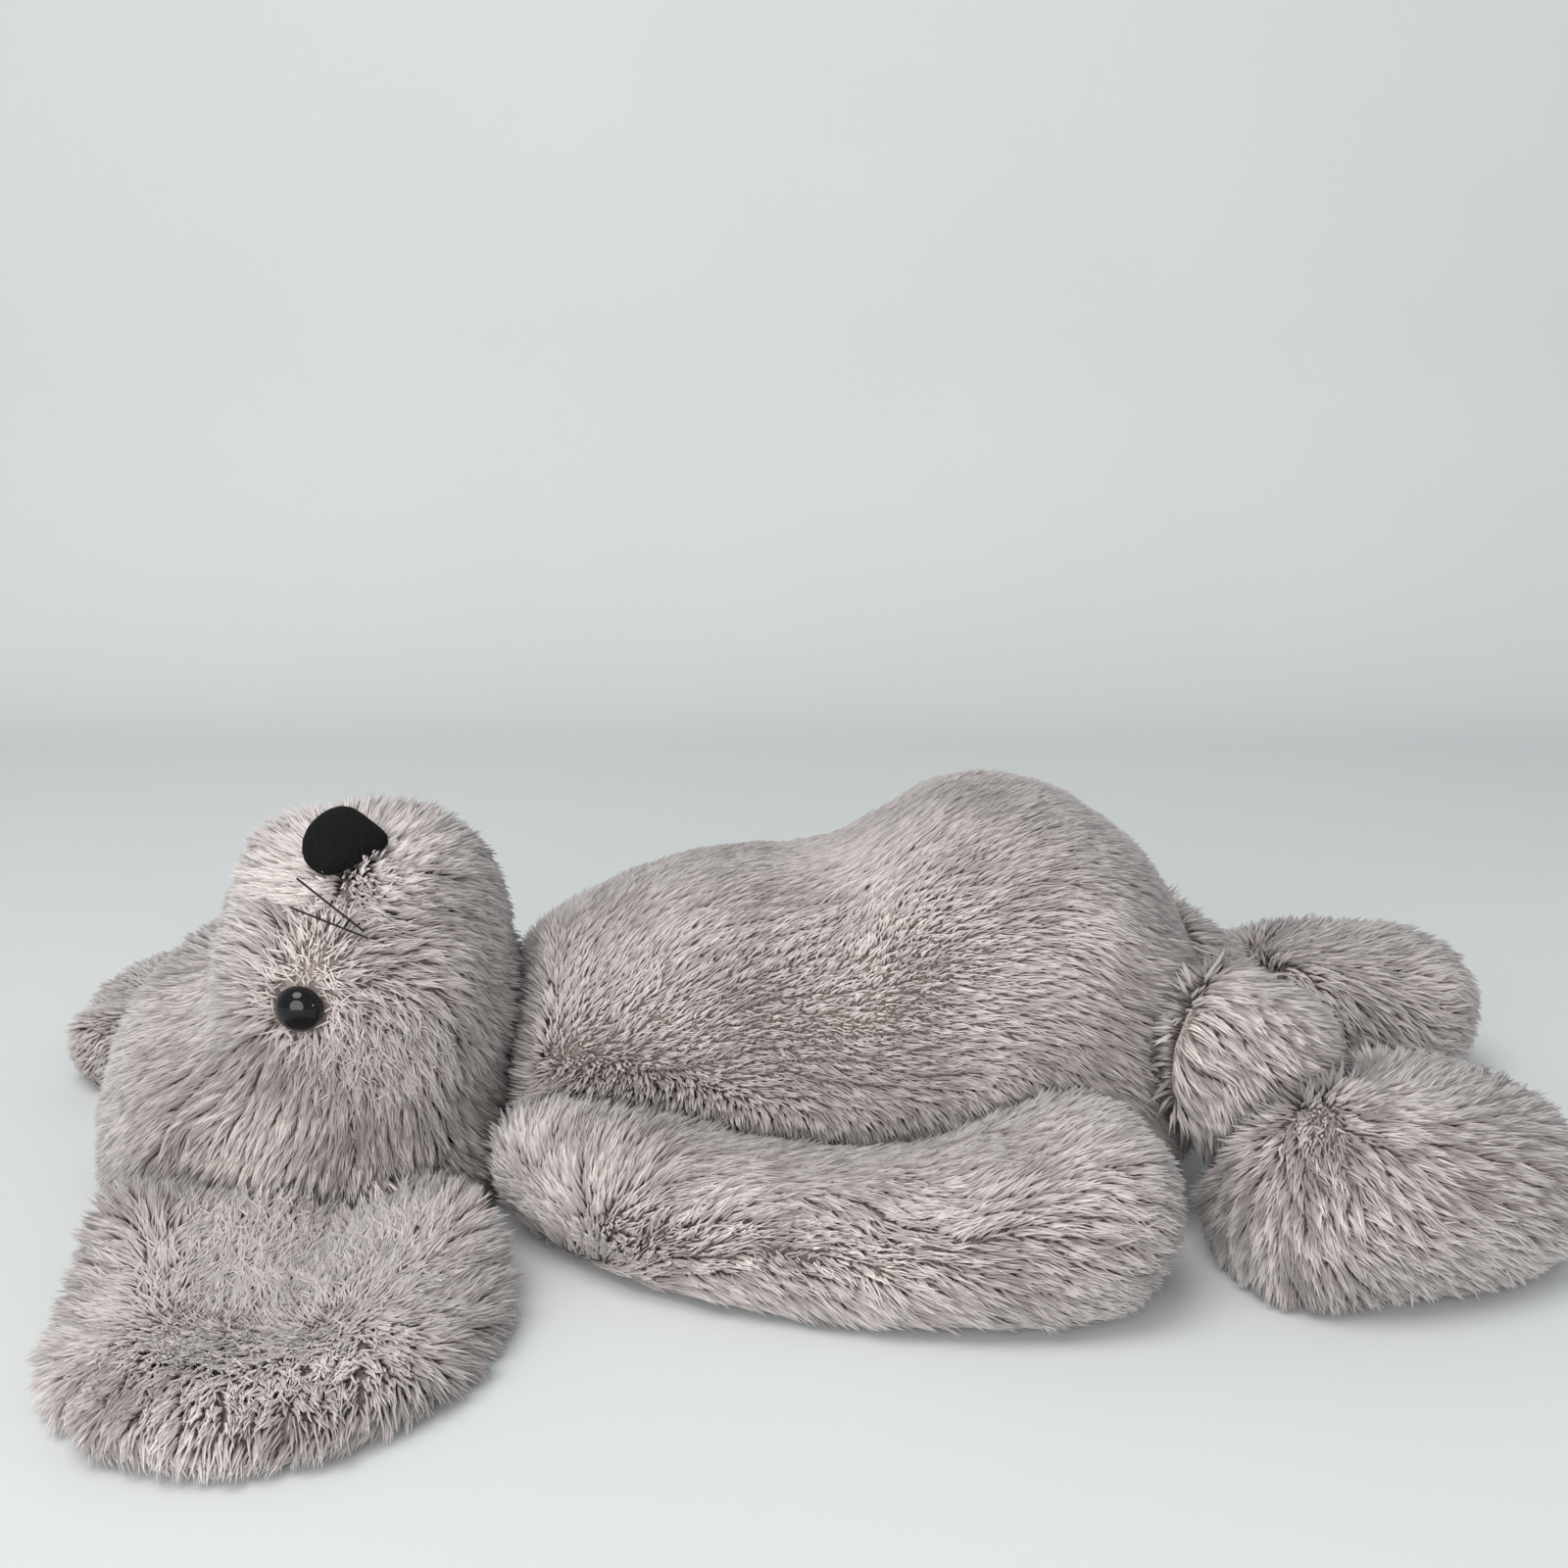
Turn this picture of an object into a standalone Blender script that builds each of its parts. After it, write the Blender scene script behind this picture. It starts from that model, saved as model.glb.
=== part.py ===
"""Soft toy mouse in long-pile plush, lying on its back with one ear and one arm towards the viewer.

Metres, +Z up. The head lies towards -X and the feet towards +X, the belly faces up, and the toy's own right
side faces -Y. The origin is the middle of the flat patch on which the back of the torso rests.
Each sewn and stuffed bag is one solid, drawn to the outside of its pile. The bags press against each
other along their sewn mouths, with a small gap between the solids.
"""
import math

import bmesh
import bpy
from mathutils import Matrix, Vector, noise
from mathutils.bvhtree import BVHTree

# Driving dimensions, in metres and degrees.
SEAM_GAP = 0.0003          # between two bags that are sewn mouth to mouth
FLOOR_PRESS = 0.0035       # how much each bag is flattened by its own weight
FLOOR_ROUNDING = 0.003     # how softly a bag turns up from the floor
PILE_RELIEF = 0.0016       # height of the clumps that the pile falls into
PILE_CLUMP = 0.017         # spacing of those clumps

TORSO_LENGTH = 0.204       # neck mouth to seat
TORSO_NECK_X = -0.082      # where the neck mouth starts, measured from the origin
TORSO_ROUND_NECK = 0.05    # share of the length that rounds off into each end
TORSO_ROUND_SEAT = 0.10
TORSO_SQUARENESS = 2.25    # of the sections, where 2 is an ellipse
# Sections of the torso: share of the length, half width, height of the belly side over the floor.
TORSO_SECTIONS = (
    (0.00, 0.030, 0.0600),
    (0.06, 0.041, 0.0725),
    (0.18, 0.051, 0.0855),
    (0.33, 0.058, 0.0925),
    (0.47, 0.062, 0.0955),
    (0.58, 0.066, 0.1095),
    (0.69, 0.067, 0.1150),
    (0.79, 0.064, 0.1100),
    (0.89, 0.056, 0.0960),
    (0.96, 0.044, 0.0800),
    (1.00, 0.026, 0.0600),
)

SKULL_LENGTH = 0.120       # crown to chin
SKULL_WIDTH = 0.125        # cheek to cheek
SKULL_DEPTH = 0.096        # back of the head to the brow
SKULL_BACK = 0.0071        # the skull lies this far behind the centre from which the head is drawn
HEAD_HEIGHT = 0.0196       # that centre over the floor
HEAD_ASIDE = 0.005         # that centre towards the toy's right side
HEAD_INTO_NECK = 0.0048    # how far the chin presses over the neck mouth
HEAD_ROLL = 28.0           # the face is rolled towards the viewer
HEAD_FLOOR_ROUNDING = 0.010
BROW_LENGTH = 0.078
BROW_WIDTH = 0.097
BROW_DEPTH = 0.073
BROW_REACH = 0.0550        # from the head centre to the top of the brow
BROW_RISE = 0.0110         # the brow lies this far to the crown side
MUZZLE_REACH = 0.1000      # from the head centre to the blunt tip of the muzzle
MUZZLE_DEPTH = 0.0895      # of the muzzle's own bag, part of it inside the skull
MUZZLE_LENGTH = 0.0787     # forehead side to chin side
MUZZLE_WIDTH = 0.0820      # whisker side to whisker side
MUZZLE_DROP = 0.0250       # the muzzle sits lower on the face than the middle of the skull
MUZZLE_SQUARENESS = 2.75
CHEEK_LENGTH = 0.102
CHEEK_WIDTH = 0.062
CHEEK_DEPTH = 0.082
CHEEK_OUT = 0.029          # middle of a cheek from the middle of the face
CHEEK_DROP = 0.009
ELLIPSOID = 2.0            # squareness of the other lobes
LOBE_BLEND = 9.0           # the higher, the tighter the crease between two lobes

ROUND_SIDES = 16           # of the eyes, their washers and pockets
EYE_DIAMETER = 0.0125
EYE_DOME = 0.0052          # height of the dome over its rim
EYE_BACK = 0.0009          # thickness of the eye behind its rim
EYE_SHANK_DIAMETER = 0.0032
EYE_SHANK_TAPER = 0.0008
EYE_SHANK_LENGTH = 0.0100
EYE_SINK = 0.0016          # the rim lies this deep in its dimple
EYE_DIMPLE = 0.0035
EYE_DIMPLE_SPREAD = 0.16   # angular width of the dimple, in radians
WASHER_DIAMETER = 0.0135
WASHER_THICKNESS = 0.0016
WASHER_DEPTH = 0.0055      # from the rim of the eye to the washer
SHANK_CLEARANCE = 0.0004   # round the shank and the washer

NOSE_WIDTH = 0.0270
NOSE_HEIGHT = 0.0225
NOSE_THICKNESS = 0.0095
NOSE_POINT = 0.40          # width at the chin end, as a share of the width at the forehead end

WHISKER_DIAMETER = 0.0006
WHISKER_LENGTH = 0.024
WHISKER_REST = 0.10        # least slope of a standing whisker away from the plush
WHISKER_HOVER = 0.0007     # from the plush to the axis of a whisker that lies on it
WHISKER_BENDS = 6          # stretches of such a whisker

EAR_WIDTH = 0.110
EAR_LENGTH = 0.130
EAR_THICKNESS = 0.026
EAR_DISH = 0.0065          # the lining panel lies this much lower than the rim
EAR_OUTER_PLEAT = 0.0132   # heights of the two folds where the ear is gathered to the head
EAR_INNER_PLEAT = 0.0085
EAR_PLEAT_LIFT = 0.005     # the gathered edge is held off the floor by the seam
EAR_GATHER = 0.012         # width lost where the ear is gathered
EAR_FLARE = 0.010          # near the head, the side towards the crown spreads out again by this much
EAR_INTO_HEAD = 0.013      # how far the gathered edge runs under the head
RIGHT_EAR_ROOT = -65.5     # where each ear leaves the skull and where its tip points, in the floor plane
RIGHT_EAR_FACING = -97.0
LEFT_EAR_ROOT = 113.0
LEFT_EAR_FACING = 116.0
LEFT_EAR_CURL = 0.006

ARM_LENGTH = 0.167
ARM_OUT = 0.0295           # axis of the arm from the side of the torso
ARM_HUG_SHOULDER = 0.72    # that side is taken at this share of the torso's half width at the shoulder
ARM_HUG_PAW = 0.92         # and at this share at the paw
ARM_ROUND_SHOULDER = 0.12  # share of the length that rounds off into each end
ARM_ROUND_PAW = 0.13
ARM_SQUARENESS = 2.3
LEG_LENGTH = 0.062
LEG_DIAMETER = 0.054
LEG_ROUND_ENDS = 0.30
LEG_SQUARENESS = 2.15
RIGHT_LEG_SPREAD = 24.0    # each leg from +X to its own side, in degrees
LEFT_LEG_SPREAD = 20.0
RIGHT_LEG_FALL = 20.0      # each leg from the floor plane down, in degrees
LEFT_LEG_FALL = 34.0
FOOT_LENGTH = 0.105
FOOT_WIDTH = 0.080
FOOT_ROUND_HEEL = 0.17
FOOT_ROUND_TOES = 0.22
FOOT_SQUARENESS = 2.2
RIGHT_FOOT_HEIGHT = 0.058
LEFT_FOOT_HEIGHT = 0.053
RIGHT_FOOT_RISE = 0.0      # rise of a foot's top from heel to toes, a share of its height
LEFT_FOOT_RISE = 0.28
RIGHT_TOES_TURN = -14.0    # toes from +X to their own side, in degrees
LEFT_TOES_TURN = 4.0
RIGHT_HEEL_BACK = 0.0415   # of each foot, behind the ankle
LEFT_HEEL_BACK = 0.0150
FOOT_OUT = 0.0128          # middle of a foot from its ankle, to its own side

RIGHT, LEFT = -1.0, 1.0    # the toy's right side is at -Y
SIDES = {RIGHT: "right", LEFT: "left"}
CLEAR_EPS = 1e-5


# Small geometry helpers.
def smooth_step(low, high, value):
    t = min(1.0, max(0.0, (value - low) / (high - low)))
    return t * t * (3.0 - 2.0 * t)


def bell(distance, spread):
    return math.exp(-(distance / spread) ** 2)


def along_sections(sections, share):
    """Every value of a table of sections at a share of the length, by a smooth curve through the rows."""
    rows = [sections[0]] + list(sections) + [sections[-1]]
    k = 1
    while k < len(sections) - 1 and sections[k][0] < share:
        k += 1
    a, b = sections[k - 1], sections[k]
    before, after = rows[k - 1], rows[k + 2]
    t = (share - a[0]) / (b[0] - a[0])
    values = []
    span = b[0] - a[0]
    for c0, c1, c2, c3 in zip(before[1:], a[1:], b[1:], after[1:]):
        slope1 = span * (c2 - c0) / (b[0] - before[0])
        slope2 = span * (c3 - c1) / (after[0] - a[0])
        values.append(
            (2 * t**3 - 3 * t**2 + 1) * c1 + (t**3 - 2 * t**2 + t) * slope1
            + (3 * t**2 - 2 * t**3) * c2 + (t**3 - t**2) * slope2)
    return values


def pile_relief(point):
    """Height of the clumps of pile at a point."""
    return PILE_RELIEF * noise.noise(Vector(point) / PILE_CLUMP * 2.0)


# Scene, materials and the steps that every piece shares.
def start_scene():
    for obj in list(bpy.data.objects):
        bpy.data.objects.remove(obj, do_unlink=True)
    parts = bpy.data.collections.new("plush_mouse")
    cutters = bpy.data.collections.new("cutters")
    for collection in (parts, cutters):
        bpy.context.scene.collection.children.link(collection)
    return parts, cutters


def material(name, colour, roughness, metallic=0.0):
    found = bpy.data.materials.get(name)
    if found:
        return found
    made = bpy.data.materials.new(name)
    made.use_nodes = True
    shader = made.node_tree.nodes["Principled BSDF"]
    shader.inputs["Base Color"].default_value = (*colour, 1.0)
    shader.inputs["Roughness"].default_value = roughness
    shader.inputs["Metallic"].default_value = metallic
    return made


def plush():
    return material("plush", (0.50, 0.43, 0.41), 0.95)


def new_object(name, bm, collection, look):
    bmesh.ops.recalc_face_normals(bm, faces=bm.faces)
    if bm.calc_volume(signed=True) < 0.0:
        bmesh.ops.reverse_faces(bm, faces=bm.faces)
    mesh = bpy.data.meshes.new(name)
    bm.to_mesh(mesh)
    bm.free()
    mesh.shade_smooth()
    obj = bpy.data.objects.new(name, mesh)
    collection.objects.link(obj)
    if look:
        mesh.materials.append(look)
    return obj


def pad_to_floor(obj, rounding=FLOOR_ROUNDING):
    """Gives the pile its clumps, then flattens the bag where it meets the floor."""
    bm = bmesh.new()
    bm.from_mesh(obj.data)
    bm.normal_update()
    for vert in bm.verts:
        vert.co += vert.normal * pile_relief(vert.co)
        pressed = (vert.co.z + math.hypot(vert.co.z, rounding)) / 2.0
        vert.co.z = max(pressed - rounding * 0.2, 0.0)
    # Triangles, so that the piece and the cutters made from it share every facet.
    bmesh.ops.triangulate(bm, faces=bm.faces)
    bm.to_mesh(obj.data)
    bm.free()


def surface_of(obj):
    """The faces of a piece, to find points on them."""
    bm = bmesh.new()
    bm.from_mesh(obj.data)
    tree = BVHTree.FromBMesh(bm)
    bm.free()
    return tree


def swollen_copy(obj, collection):
    """A cutter one seam gap larger than the piece."""
    mesh = bpy.data.meshes.new_from_object(obj.evaluated_get(bpy.context.evaluated_depsgraph_get()))
    bm = bmesh.new()
    bm.from_mesh(mesh)
    bm.normal_update()
    moves = [vert.normal * (SEAM_GAP * vert.calc_shell_factor()) for vert in bm.verts]
    for vert, move in zip(bm.verts, moves):
        vert.co += move
    bm.to_mesh(mesh)
    bm.free()
    cutter = bpy.data.objects.new(obj.name + "_clear", mesh)
    collection.objects.link(cutter)
    cutter.hide_render = True
    cutter.display_type = "WIRE"
    return cutter


def cut(obj, cutter):
    modifier = obj.modifiers.new("cut_" + cutter.name, "BOOLEAN")
    modifier.operation = "DIFFERENCE"
    modifier.object = cutter


def settle(obj):
    """Applies the cuts, so that later pieces can be seated against the result."""
    bpy.context.view_layer.update()
    mesh = bpy.data.meshes.new_from_object(obj.evaluated_get(bpy.context.evaluated_depsgraph_get()))
    obj.modifiers.clear()
    obj.data = mesh
    bm = bmesh.new()
    bm.from_mesh(mesh)
    bmesh.ops.remove_doubles(bm, verts=bm.verts, dist=CLEAR_EPS)
    bmesh.ops.dissolve_degenerate(bm, edges=bm.edges, dist=CLEAR_EPS)
    bm.to_mesh(mesh)
    bm.free()


def seat(obj, neighbours, cutters):
    """Cuts the piece back to a seam gap from each of its neighbours."""
    for neighbour in neighbours:
        cut(obj, swollen_copy(neighbour, cutters))
    settle(obj)


# Bags that are lofted along a spine.
def ring_matrix(centre, tangent, half_width, half_height):
    """Places a unit circle as a section: its x across the spine, level, and its y upright."""
    across = Vector((-tangent.y, tangent.x, 0.0)).normalized()
    upright = tangent.cross(across).normalized()
    if upright.z < 0.0:
        upright.negate()
    across = upright.cross(tangent)
    frame = Matrix((across * half_width, upright * half_height, tangent)).transposed()
    return Matrix.Translation(centre) @ frame.to_4x4()


def lofted_bag(name, centre_at, size_at, parts, rings, sides, squareness, level=True):
    """A closed bag through sections along a spine, with rounded ends.

    centre_at and size_at take a share of the length from 0 to 1. squareness is 2 for an ellipse.
    The sections of a level bag stand upright on the floor."""
    bm = bmesh.new()
    loops = []
    for k in range(rings):
        # Sections crowd towards both ends, where the bag rounds off.
        share = 0.5 - 0.5 * math.cos(math.pi * (k + 0.35) / (rings - 0.3))
        step = 0.01
        tangent = centre_at(min(1.0, share + step)) - centre_at(max(0.0, share - step))
        if level:
            tangent.z = 0.0
        tangent.normalize()
        half_width, half_height = size_at(share)
        matrix = ring_matrix(centre_at(share), tangent, half_width, half_height)
        made = bmesh.ops.create_circle(bm, cap_ends=False, segments=sides, radius=1.0)
        for vert in made["verts"]:
            x, y = vert.co.x, vert.co.y
            grow = (abs(x) ** squareness + abs(y) ** squareness) ** (-1.0 / squareness)
            vert.co = matrix @ Vector((x * grow, y * grow, 0.0))
        loops.append(made["verts"])
    for loop, following in zip(loops, loops[1:]):
        edges = {edge for vert in loop + following for edge in vert.link_edges}
        ring_edges = [edge for edge in edges
                      if any(all(vert in ring for vert in edge.verts) for ring in (loop, following))]
        bmesh.ops.bridge_loops(bm, edges=ring_edges)
    for loop in (loops[0], loops[-1]):
        bmesh.ops.contextual_create(bm, geom=loop)
    return new_object(name, bm, parts, plush())


def end_rounding(share, start_round, end_round):
    """How much a section shrinks near the two ends of a bag, each rounded over a share of its length."""
    size = 1.0
    if share < start_round:
        size *= math.sqrt(max(0.0, 1.0 - (1.0 - share / start_round) ** 2))
    if share > 1.0 - end_round:
        size *= math.sqrt(max(0.0, 1.0 - ((share - 1.0 + end_round) / end_round) ** 2))
    return size


def torso_size(share):
    return along_sections(TORSO_SECTIONS, share)


def torso_side(share):
    """X and half width of the torso at a share of its length."""
    return TORSO_NECK_X + TORSO_LENGTH * share, torso_size(share)[0]


def build_torso(parts):
    def centre_at(share):
        half_height = (torso_size(share)[1] + FLOOR_PRESS) / 2.0
        return Vector((TORSO_NECK_X + TORSO_LENGTH * share, 0.0, half_height - FLOOR_PRESS))

    def size_at(share):
        half_width, top = torso_size(share)
        size = end_rounding(share, TORSO_ROUND_NECK, TORSO_ROUND_SEAT)
        return half_width * size, (top + FLOOR_PRESS) / 2.0 * size

    torso = lofted_bag("torso", centre_at, size_at, parts, rings=24, sides=28, squareness=TORSO_SQUARENESS)
    pad_to_floor(torso)
    return torso


# Head: lobes seen from one centre, so that the skull, muzzle and cheeks run into each other.
HEAD_CENTRE = Vector((
    TORSO_NECK_X + HEAD_INTO_NECK - SKULL_LENGTH / 2.0,
    -HEAD_ASIDE,
    HEAD_HEIGHT,
))


def head_axes():
    """The toy's crown, right and face directions in the world."""
    roll = math.radians(HEAD_ROLL)
    crown = Vector((-1.0, 0.0, 0.0))
    face = Vector((0.0, -math.sin(roll), math.cos(roll)))
    right = Vector((0.0, -math.cos(roll), -math.sin(roll)))
    return crown, right, face


def to_world(crown, right, face):
    axes = head_axes()
    return axes[0] * crown + axes[1] * right + axes[2] * face


def lobes():
    """Centre, radii and squareness of each lobe, along crown, right and face."""
    def radii(*sizes):
        return tuple(size / 2.0 for size in sizes)

    skull = ((0.0, 0.0, -SKULL_BACK), radii(SKULL_LENGTH, SKULL_WIDTH, SKULL_DEPTH), ELLIPSOID)
    brow = ((BROW_RISE, 0.0, BROW_REACH - BROW_DEPTH / 2.0),
            radii(BROW_LENGTH, BROW_WIDTH, BROW_DEPTH), ELLIPSOID)
    muzzle = ((-MUZZLE_DROP, 0.0, MUZZLE_REACH - MUZZLE_DEPTH / 2.0),
              radii(MUZZLE_LENGTH, MUZZLE_WIDTH, MUZZLE_DEPTH), MUZZLE_SQUARENESS)
    cheeks = [((-CHEEK_DROP, side * CHEEK_OUT, 0.0), radii(CHEEK_LENGTH, CHEEK_WIDTH, CHEEK_DEPTH), ELLIPSOID)
              for side in (-1.0, 1.0)]
    return [skull, brow, muzzle] + cheeks


def lobe_fill(point):
    """Over 1 inside the plush of the head and under 1 outside, for a point in head axes."""
    total = 0.0
    for centre, radii, squareness in lobes():
        powers = [abs((point[k] - centre[k]) / radii[k]) ** squareness for k in range(3)]
        total += max(sum(powers) ** (1.0 / squareness), 0.01) ** -LOBE_BLEND
    return total


EYE_DIRECTION = Vector((-0.185, 0.43, 0.885)).normalized()


def bag_reach(direction):
    """Distance from the head centre to the plush along a direction in head axes, before the eyes are set."""
    low, high = 0.0, SKULL_LENGTH + MUZZLE_REACH
    for _ in range(22):
        middle = (low + high) / 2.0
        if lobe_fill(direction * middle) > 1.0:
            low = middle
        else:
            high = middle
    return low


def head_reach(direction):
    """The same distance once the eyes have drawn in their dimples."""
    reach = bag_reach(direction)
    for side in (-1.0, 1.0):
        eye = Vector((EYE_DIRECTION.x, side * EYE_DIRECTION.y, EYE_DIRECTION.z))
        reach -= EYE_DIMPLE * bell(direction.angle(eye), EYE_DIMPLE_SPREAD)
    return reach


def head_normal(direction):
    """World direction out of the plush, from the slope of the bag over a small patch."""
    patch = 0.08
    first = direction.orthogonal().normalized() * patch
    second = direction.cross(first)
    corners = [(direction + offset).normalized() for offset in (first, second, -first, -second)]
    a, b, c, d = [Vector(corner * bag_reach(corner)) for corner in corners]
    normal = (a - c).cross(b - d)
    if normal.dot(direction) < 0.0:
        normal.negate()
    return to_world(*normal).normalized()


def head_point(direction, out=0.0):
    """World point on the plush of the head along a direction in head axes."""
    return HEAD_CENTRE + to_world(*(direction * (head_reach(direction) + out)))


def quad_sphere(cuts):
    bm = bmesh.new()
    bmesh.ops.create_cube(bm, size=2.0)
    bmesh.ops.subdivide_edges(bm, edges=bm.edges, cuts=cuts, use_grid_fill=True)
    for vert in bm.verts:
        vert.co.normalize()
    return bm


def build_head(parts):
    bm = quad_sphere(13)
    for vert in bm.verts:
        vert.co = HEAD_CENTRE + to_world(*(vert.co * head_reach(vert.co)))
    head = new_object("head", bm, parts, plush())
    pad_to_floor(head, HEAD_FLOOR_ROUNDING)
    return head


# Eyes, their washers, the nose and the whiskers.
def frame_at(point, normal):
    """A placement with +Z out of the plush."""
    matrix = normal.to_track_quat("Z", "Y").to_matrix().to_4x4()
    matrix.translation = point
    return matrix


def eye_frame(side):
    direction = Vector((EYE_DIRECTION.x, -side * EYE_DIRECTION.y, EYE_DIRECTION.z))
    outward = head_normal(direction)
    return frame_at(head_point(direction) - outward * EYE_SINK, outward)


def turned(name, profile, steps, matrix, collection, look):
    """A closed turned piece from a profile of radius and height that starts and ends on the axis."""
    mesh = bpy.data.meshes.new(name)
    points = [(radius, 0.0, height) for radius, height in profile]
    mesh.from_pydata(points, [(k, k + 1) for k in range(len(points) - 1)], [])
    obj = bpy.data.objects.new(name, mesh)
    collection.objects.link(obj)
    obj.matrix_world = matrix
    screw = obj.modifiers.new("turn", "SCREW")
    screw.steps = screw.render_steps = steps
    screw.use_merge_vertices = True
    screw.merge_threshold = 0.00001
    screw.use_smooth_shade = True
    if look:
        mesh.materials.append(look)
    return obj


def eye_profile():
    radius, shank = EYE_DIAMETER / 2.0, EYE_SHANK_DIAMETER / 2.0
    steps = 5
    angles = [math.pi / 2.0 * k / steps for k in range(steps + 1)]
    dome = [(radius * math.sin(angle), EYE_DOME * math.cos(angle)) for angle in angles]
    back = radius - EYE_BACK / 2.0
    tip = -EYE_SHANK_LENGTH
    stem = [(back, -EYE_BACK), (shank, -EYE_BACK), (shank, tip + EYE_SHANK_TAPER),
            (shank / 2.0, tip), (0.0, tip)]
    return dome + stem


def build_eye(name, side, parts):
    black = material("eye_plastic", (0.004, 0.004, 0.005), 0.08)
    return turned(name, eye_profile(), ROUND_SIDES, eye_frame(side), parts, black)


def build_washer(name, side, parts):
    outer, thick = WASHER_DIAMETER / 2.0, WASHER_THICKNESS
    bore = EYE_SHANK_DIAMETER / 2.0 + SHANK_CLEARANCE / 2.0
    low = -WASHER_DEPTH - thick
    bm = bmesh.new()
    ring = [(outer, low + thick), (outer, low), (bore, low), (bore, low + thick)]
    verts = [bm.verts.new((radius, 0.0, height)) for radius, height in ring]
    edges = [bm.edges.new((verts[k], verts[(k + 1) % 4])) for k in range(4)]
    bmesh.ops.spin(bm, geom=verts + edges, cent=(0, 0, 0), axis=(0, 0, 1),
                   angle=math.tau, steps=ROUND_SIDES, use_merge=True)
    bmesh.ops.transform(bm, matrix=eye_frame(side), verts=bm.verts)
    return new_object(name, bm, parts, material("washer_plastic", (0.82, 0.82, 0.80), 0.4))


def eye_pocket(name, side, cutters):
    """What the eye, its shank and its washer need inside the head."""
    radius = EYE_DIAMETER / 2.0 + SHANK_CLEARANCE
    shank = EYE_SHANK_DIAMETER / 2.0 + SHANK_CLEARANCE
    washer = WASHER_DIAMETER / 2.0 + SHANK_CLEARANCE
    top = -WASHER_DEPTH + SHANK_CLEARANCE
    low = -WASHER_DEPTH - WASHER_THICKNESS - SHANK_CLEARANCE
    tip = -EYE_SHANK_LENGTH - SHANK_CLEARANCE
    back = -EYE_BACK - SHANK_CLEARANCE
    mouth = EYE_DIMPLE + EYE_SINK
    profile = [(0.0, mouth), (radius, mouth), (radius, back), (shank, back), (shank, top),
               (washer, top), (washer, low), (shank, low), (shank, tip), (0.0, tip)]
    cutter = turned(name, profile, ROUND_SIDES, eye_frame(side), cutters, None)
    cutter.hide_render = True
    cutter.display_type = "WIRE"
    return cutter


# Directions from the head centre, along crown, the toy's right and face.
NOSE_DIRECTION = Vector((-0.242, 0.0, 0.970)).normalized()


WHISKER_ROOTS = {"upper": Vector((-0.322, 0.252, 0.907)), "lower": Vector((-0.336, 0.270, 0.907))}
# On the side that has been handled, the whiskers stand up. On the other, they lie in the pile.
STANDING_WHISKERS = {"upper": Vector((0.54, 0.10, 0.835)), "lower": Vector((0.62, 0.30, 0.72))}
LYING_WHISKERS = {"upper": Vector((0.22, 0.75, -0.62)), "lower": Vector((0.00, 0.78, -0.62))}


def build_nose(parts):
    """A padded black patch: a rounded triangle with its point towards the chin."""
    centre = head_point(NOSE_DIRECTION)
    out = head_normal(NOSE_DIRECTION)
    crown, right, _ = head_axes()
    side = (right - out * right.dot(out)).normalized()
    up = side.cross(out)
    if up.dot(crown) < 0.0:
        up.negate()
    bm = quad_sphere(5)
    for vert in bm.verts:
        x, y, z = vert.co
        wide = NOSE_WIDTH * (1.0 - (1.0 - NOSE_POINT) * smooth_step(0.35, -1.0, y))
        vert.co = centre + side * (x * wide / 2.0) + up * (y * NOSE_HEIGHT / 2.0)
        vert.co += out * (z * NOSE_THICKNESS / 2.0)
    return new_object("nose", bm, parts, material("nose_velour", (0.006, 0.006, 0.007), 0.9))


def laid_on(plush_surface, start, along):
    """Points of a whisker that follows the plush from start, roughly along one direction."""
    step = WHISKER_LENGTH / WHISKER_BENDS
    points = [start]
    for _ in range(WHISKER_BENDS):
        foot, outwards, _, _ = plush_surface.find_nearest(points[-1] + along * step)
        resting = foot + outwards * WHISKER_HOVER
        points.append(points[-1] + (resting - points[-1]).normalized() * step)
    return points


def build_whisker(name, side, root, aim, plush_surface, parts):
    """A stiff thread from the side of the muzzle.

    aim is its direction: to the crown, to its own side, outwards."""
    mirror = Vector((1.0, -side, 1.0))
    inwards = -to_world(*(root.normalized() * mirror))
    outside = HEAD_CENTRE - inwards * (SKULL_LENGTH + MUZZLE_REACH)
    foot, outwards, _, _ = plush_surface.ray_cast(outside, inwards)
    along = to_world(*(aim.normalized() * mirror))
    if side == RIGHT:
        start = foot + outwards * (SEAM_GAP + WHISKER_DIAMETER / 2.0)
        along += outwards * max(0.0, WHISKER_REST - along.dot(outwards))
        points = [start, start + along.normalized() * WHISKER_LENGTH]
    else:
        points = laid_on(plush_surface, foot + outwards * WHISKER_HOVER, along)
    curve = bpy.data.curves.new(name, "CURVE")
    curve.dimensions = "3D"
    curve.bevel_depth = WHISKER_DIAMETER / 2.0
    curve.bevel_resolution = 1
    curve.use_fill_caps = True
    spline = curve.splines.new("POLY")
    spline.points.add(len(points) - 1)
    for point, place in zip(spline.points, points):
        point.co = (*place, 1.0)
    whisker = bpy.data.objects.new(name, curve)
    parts.objects.link(whisker)
    curve.materials.append(material("whisker_thread", (0.008, 0.007, 0.007), 0.45))
    return whisker


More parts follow.
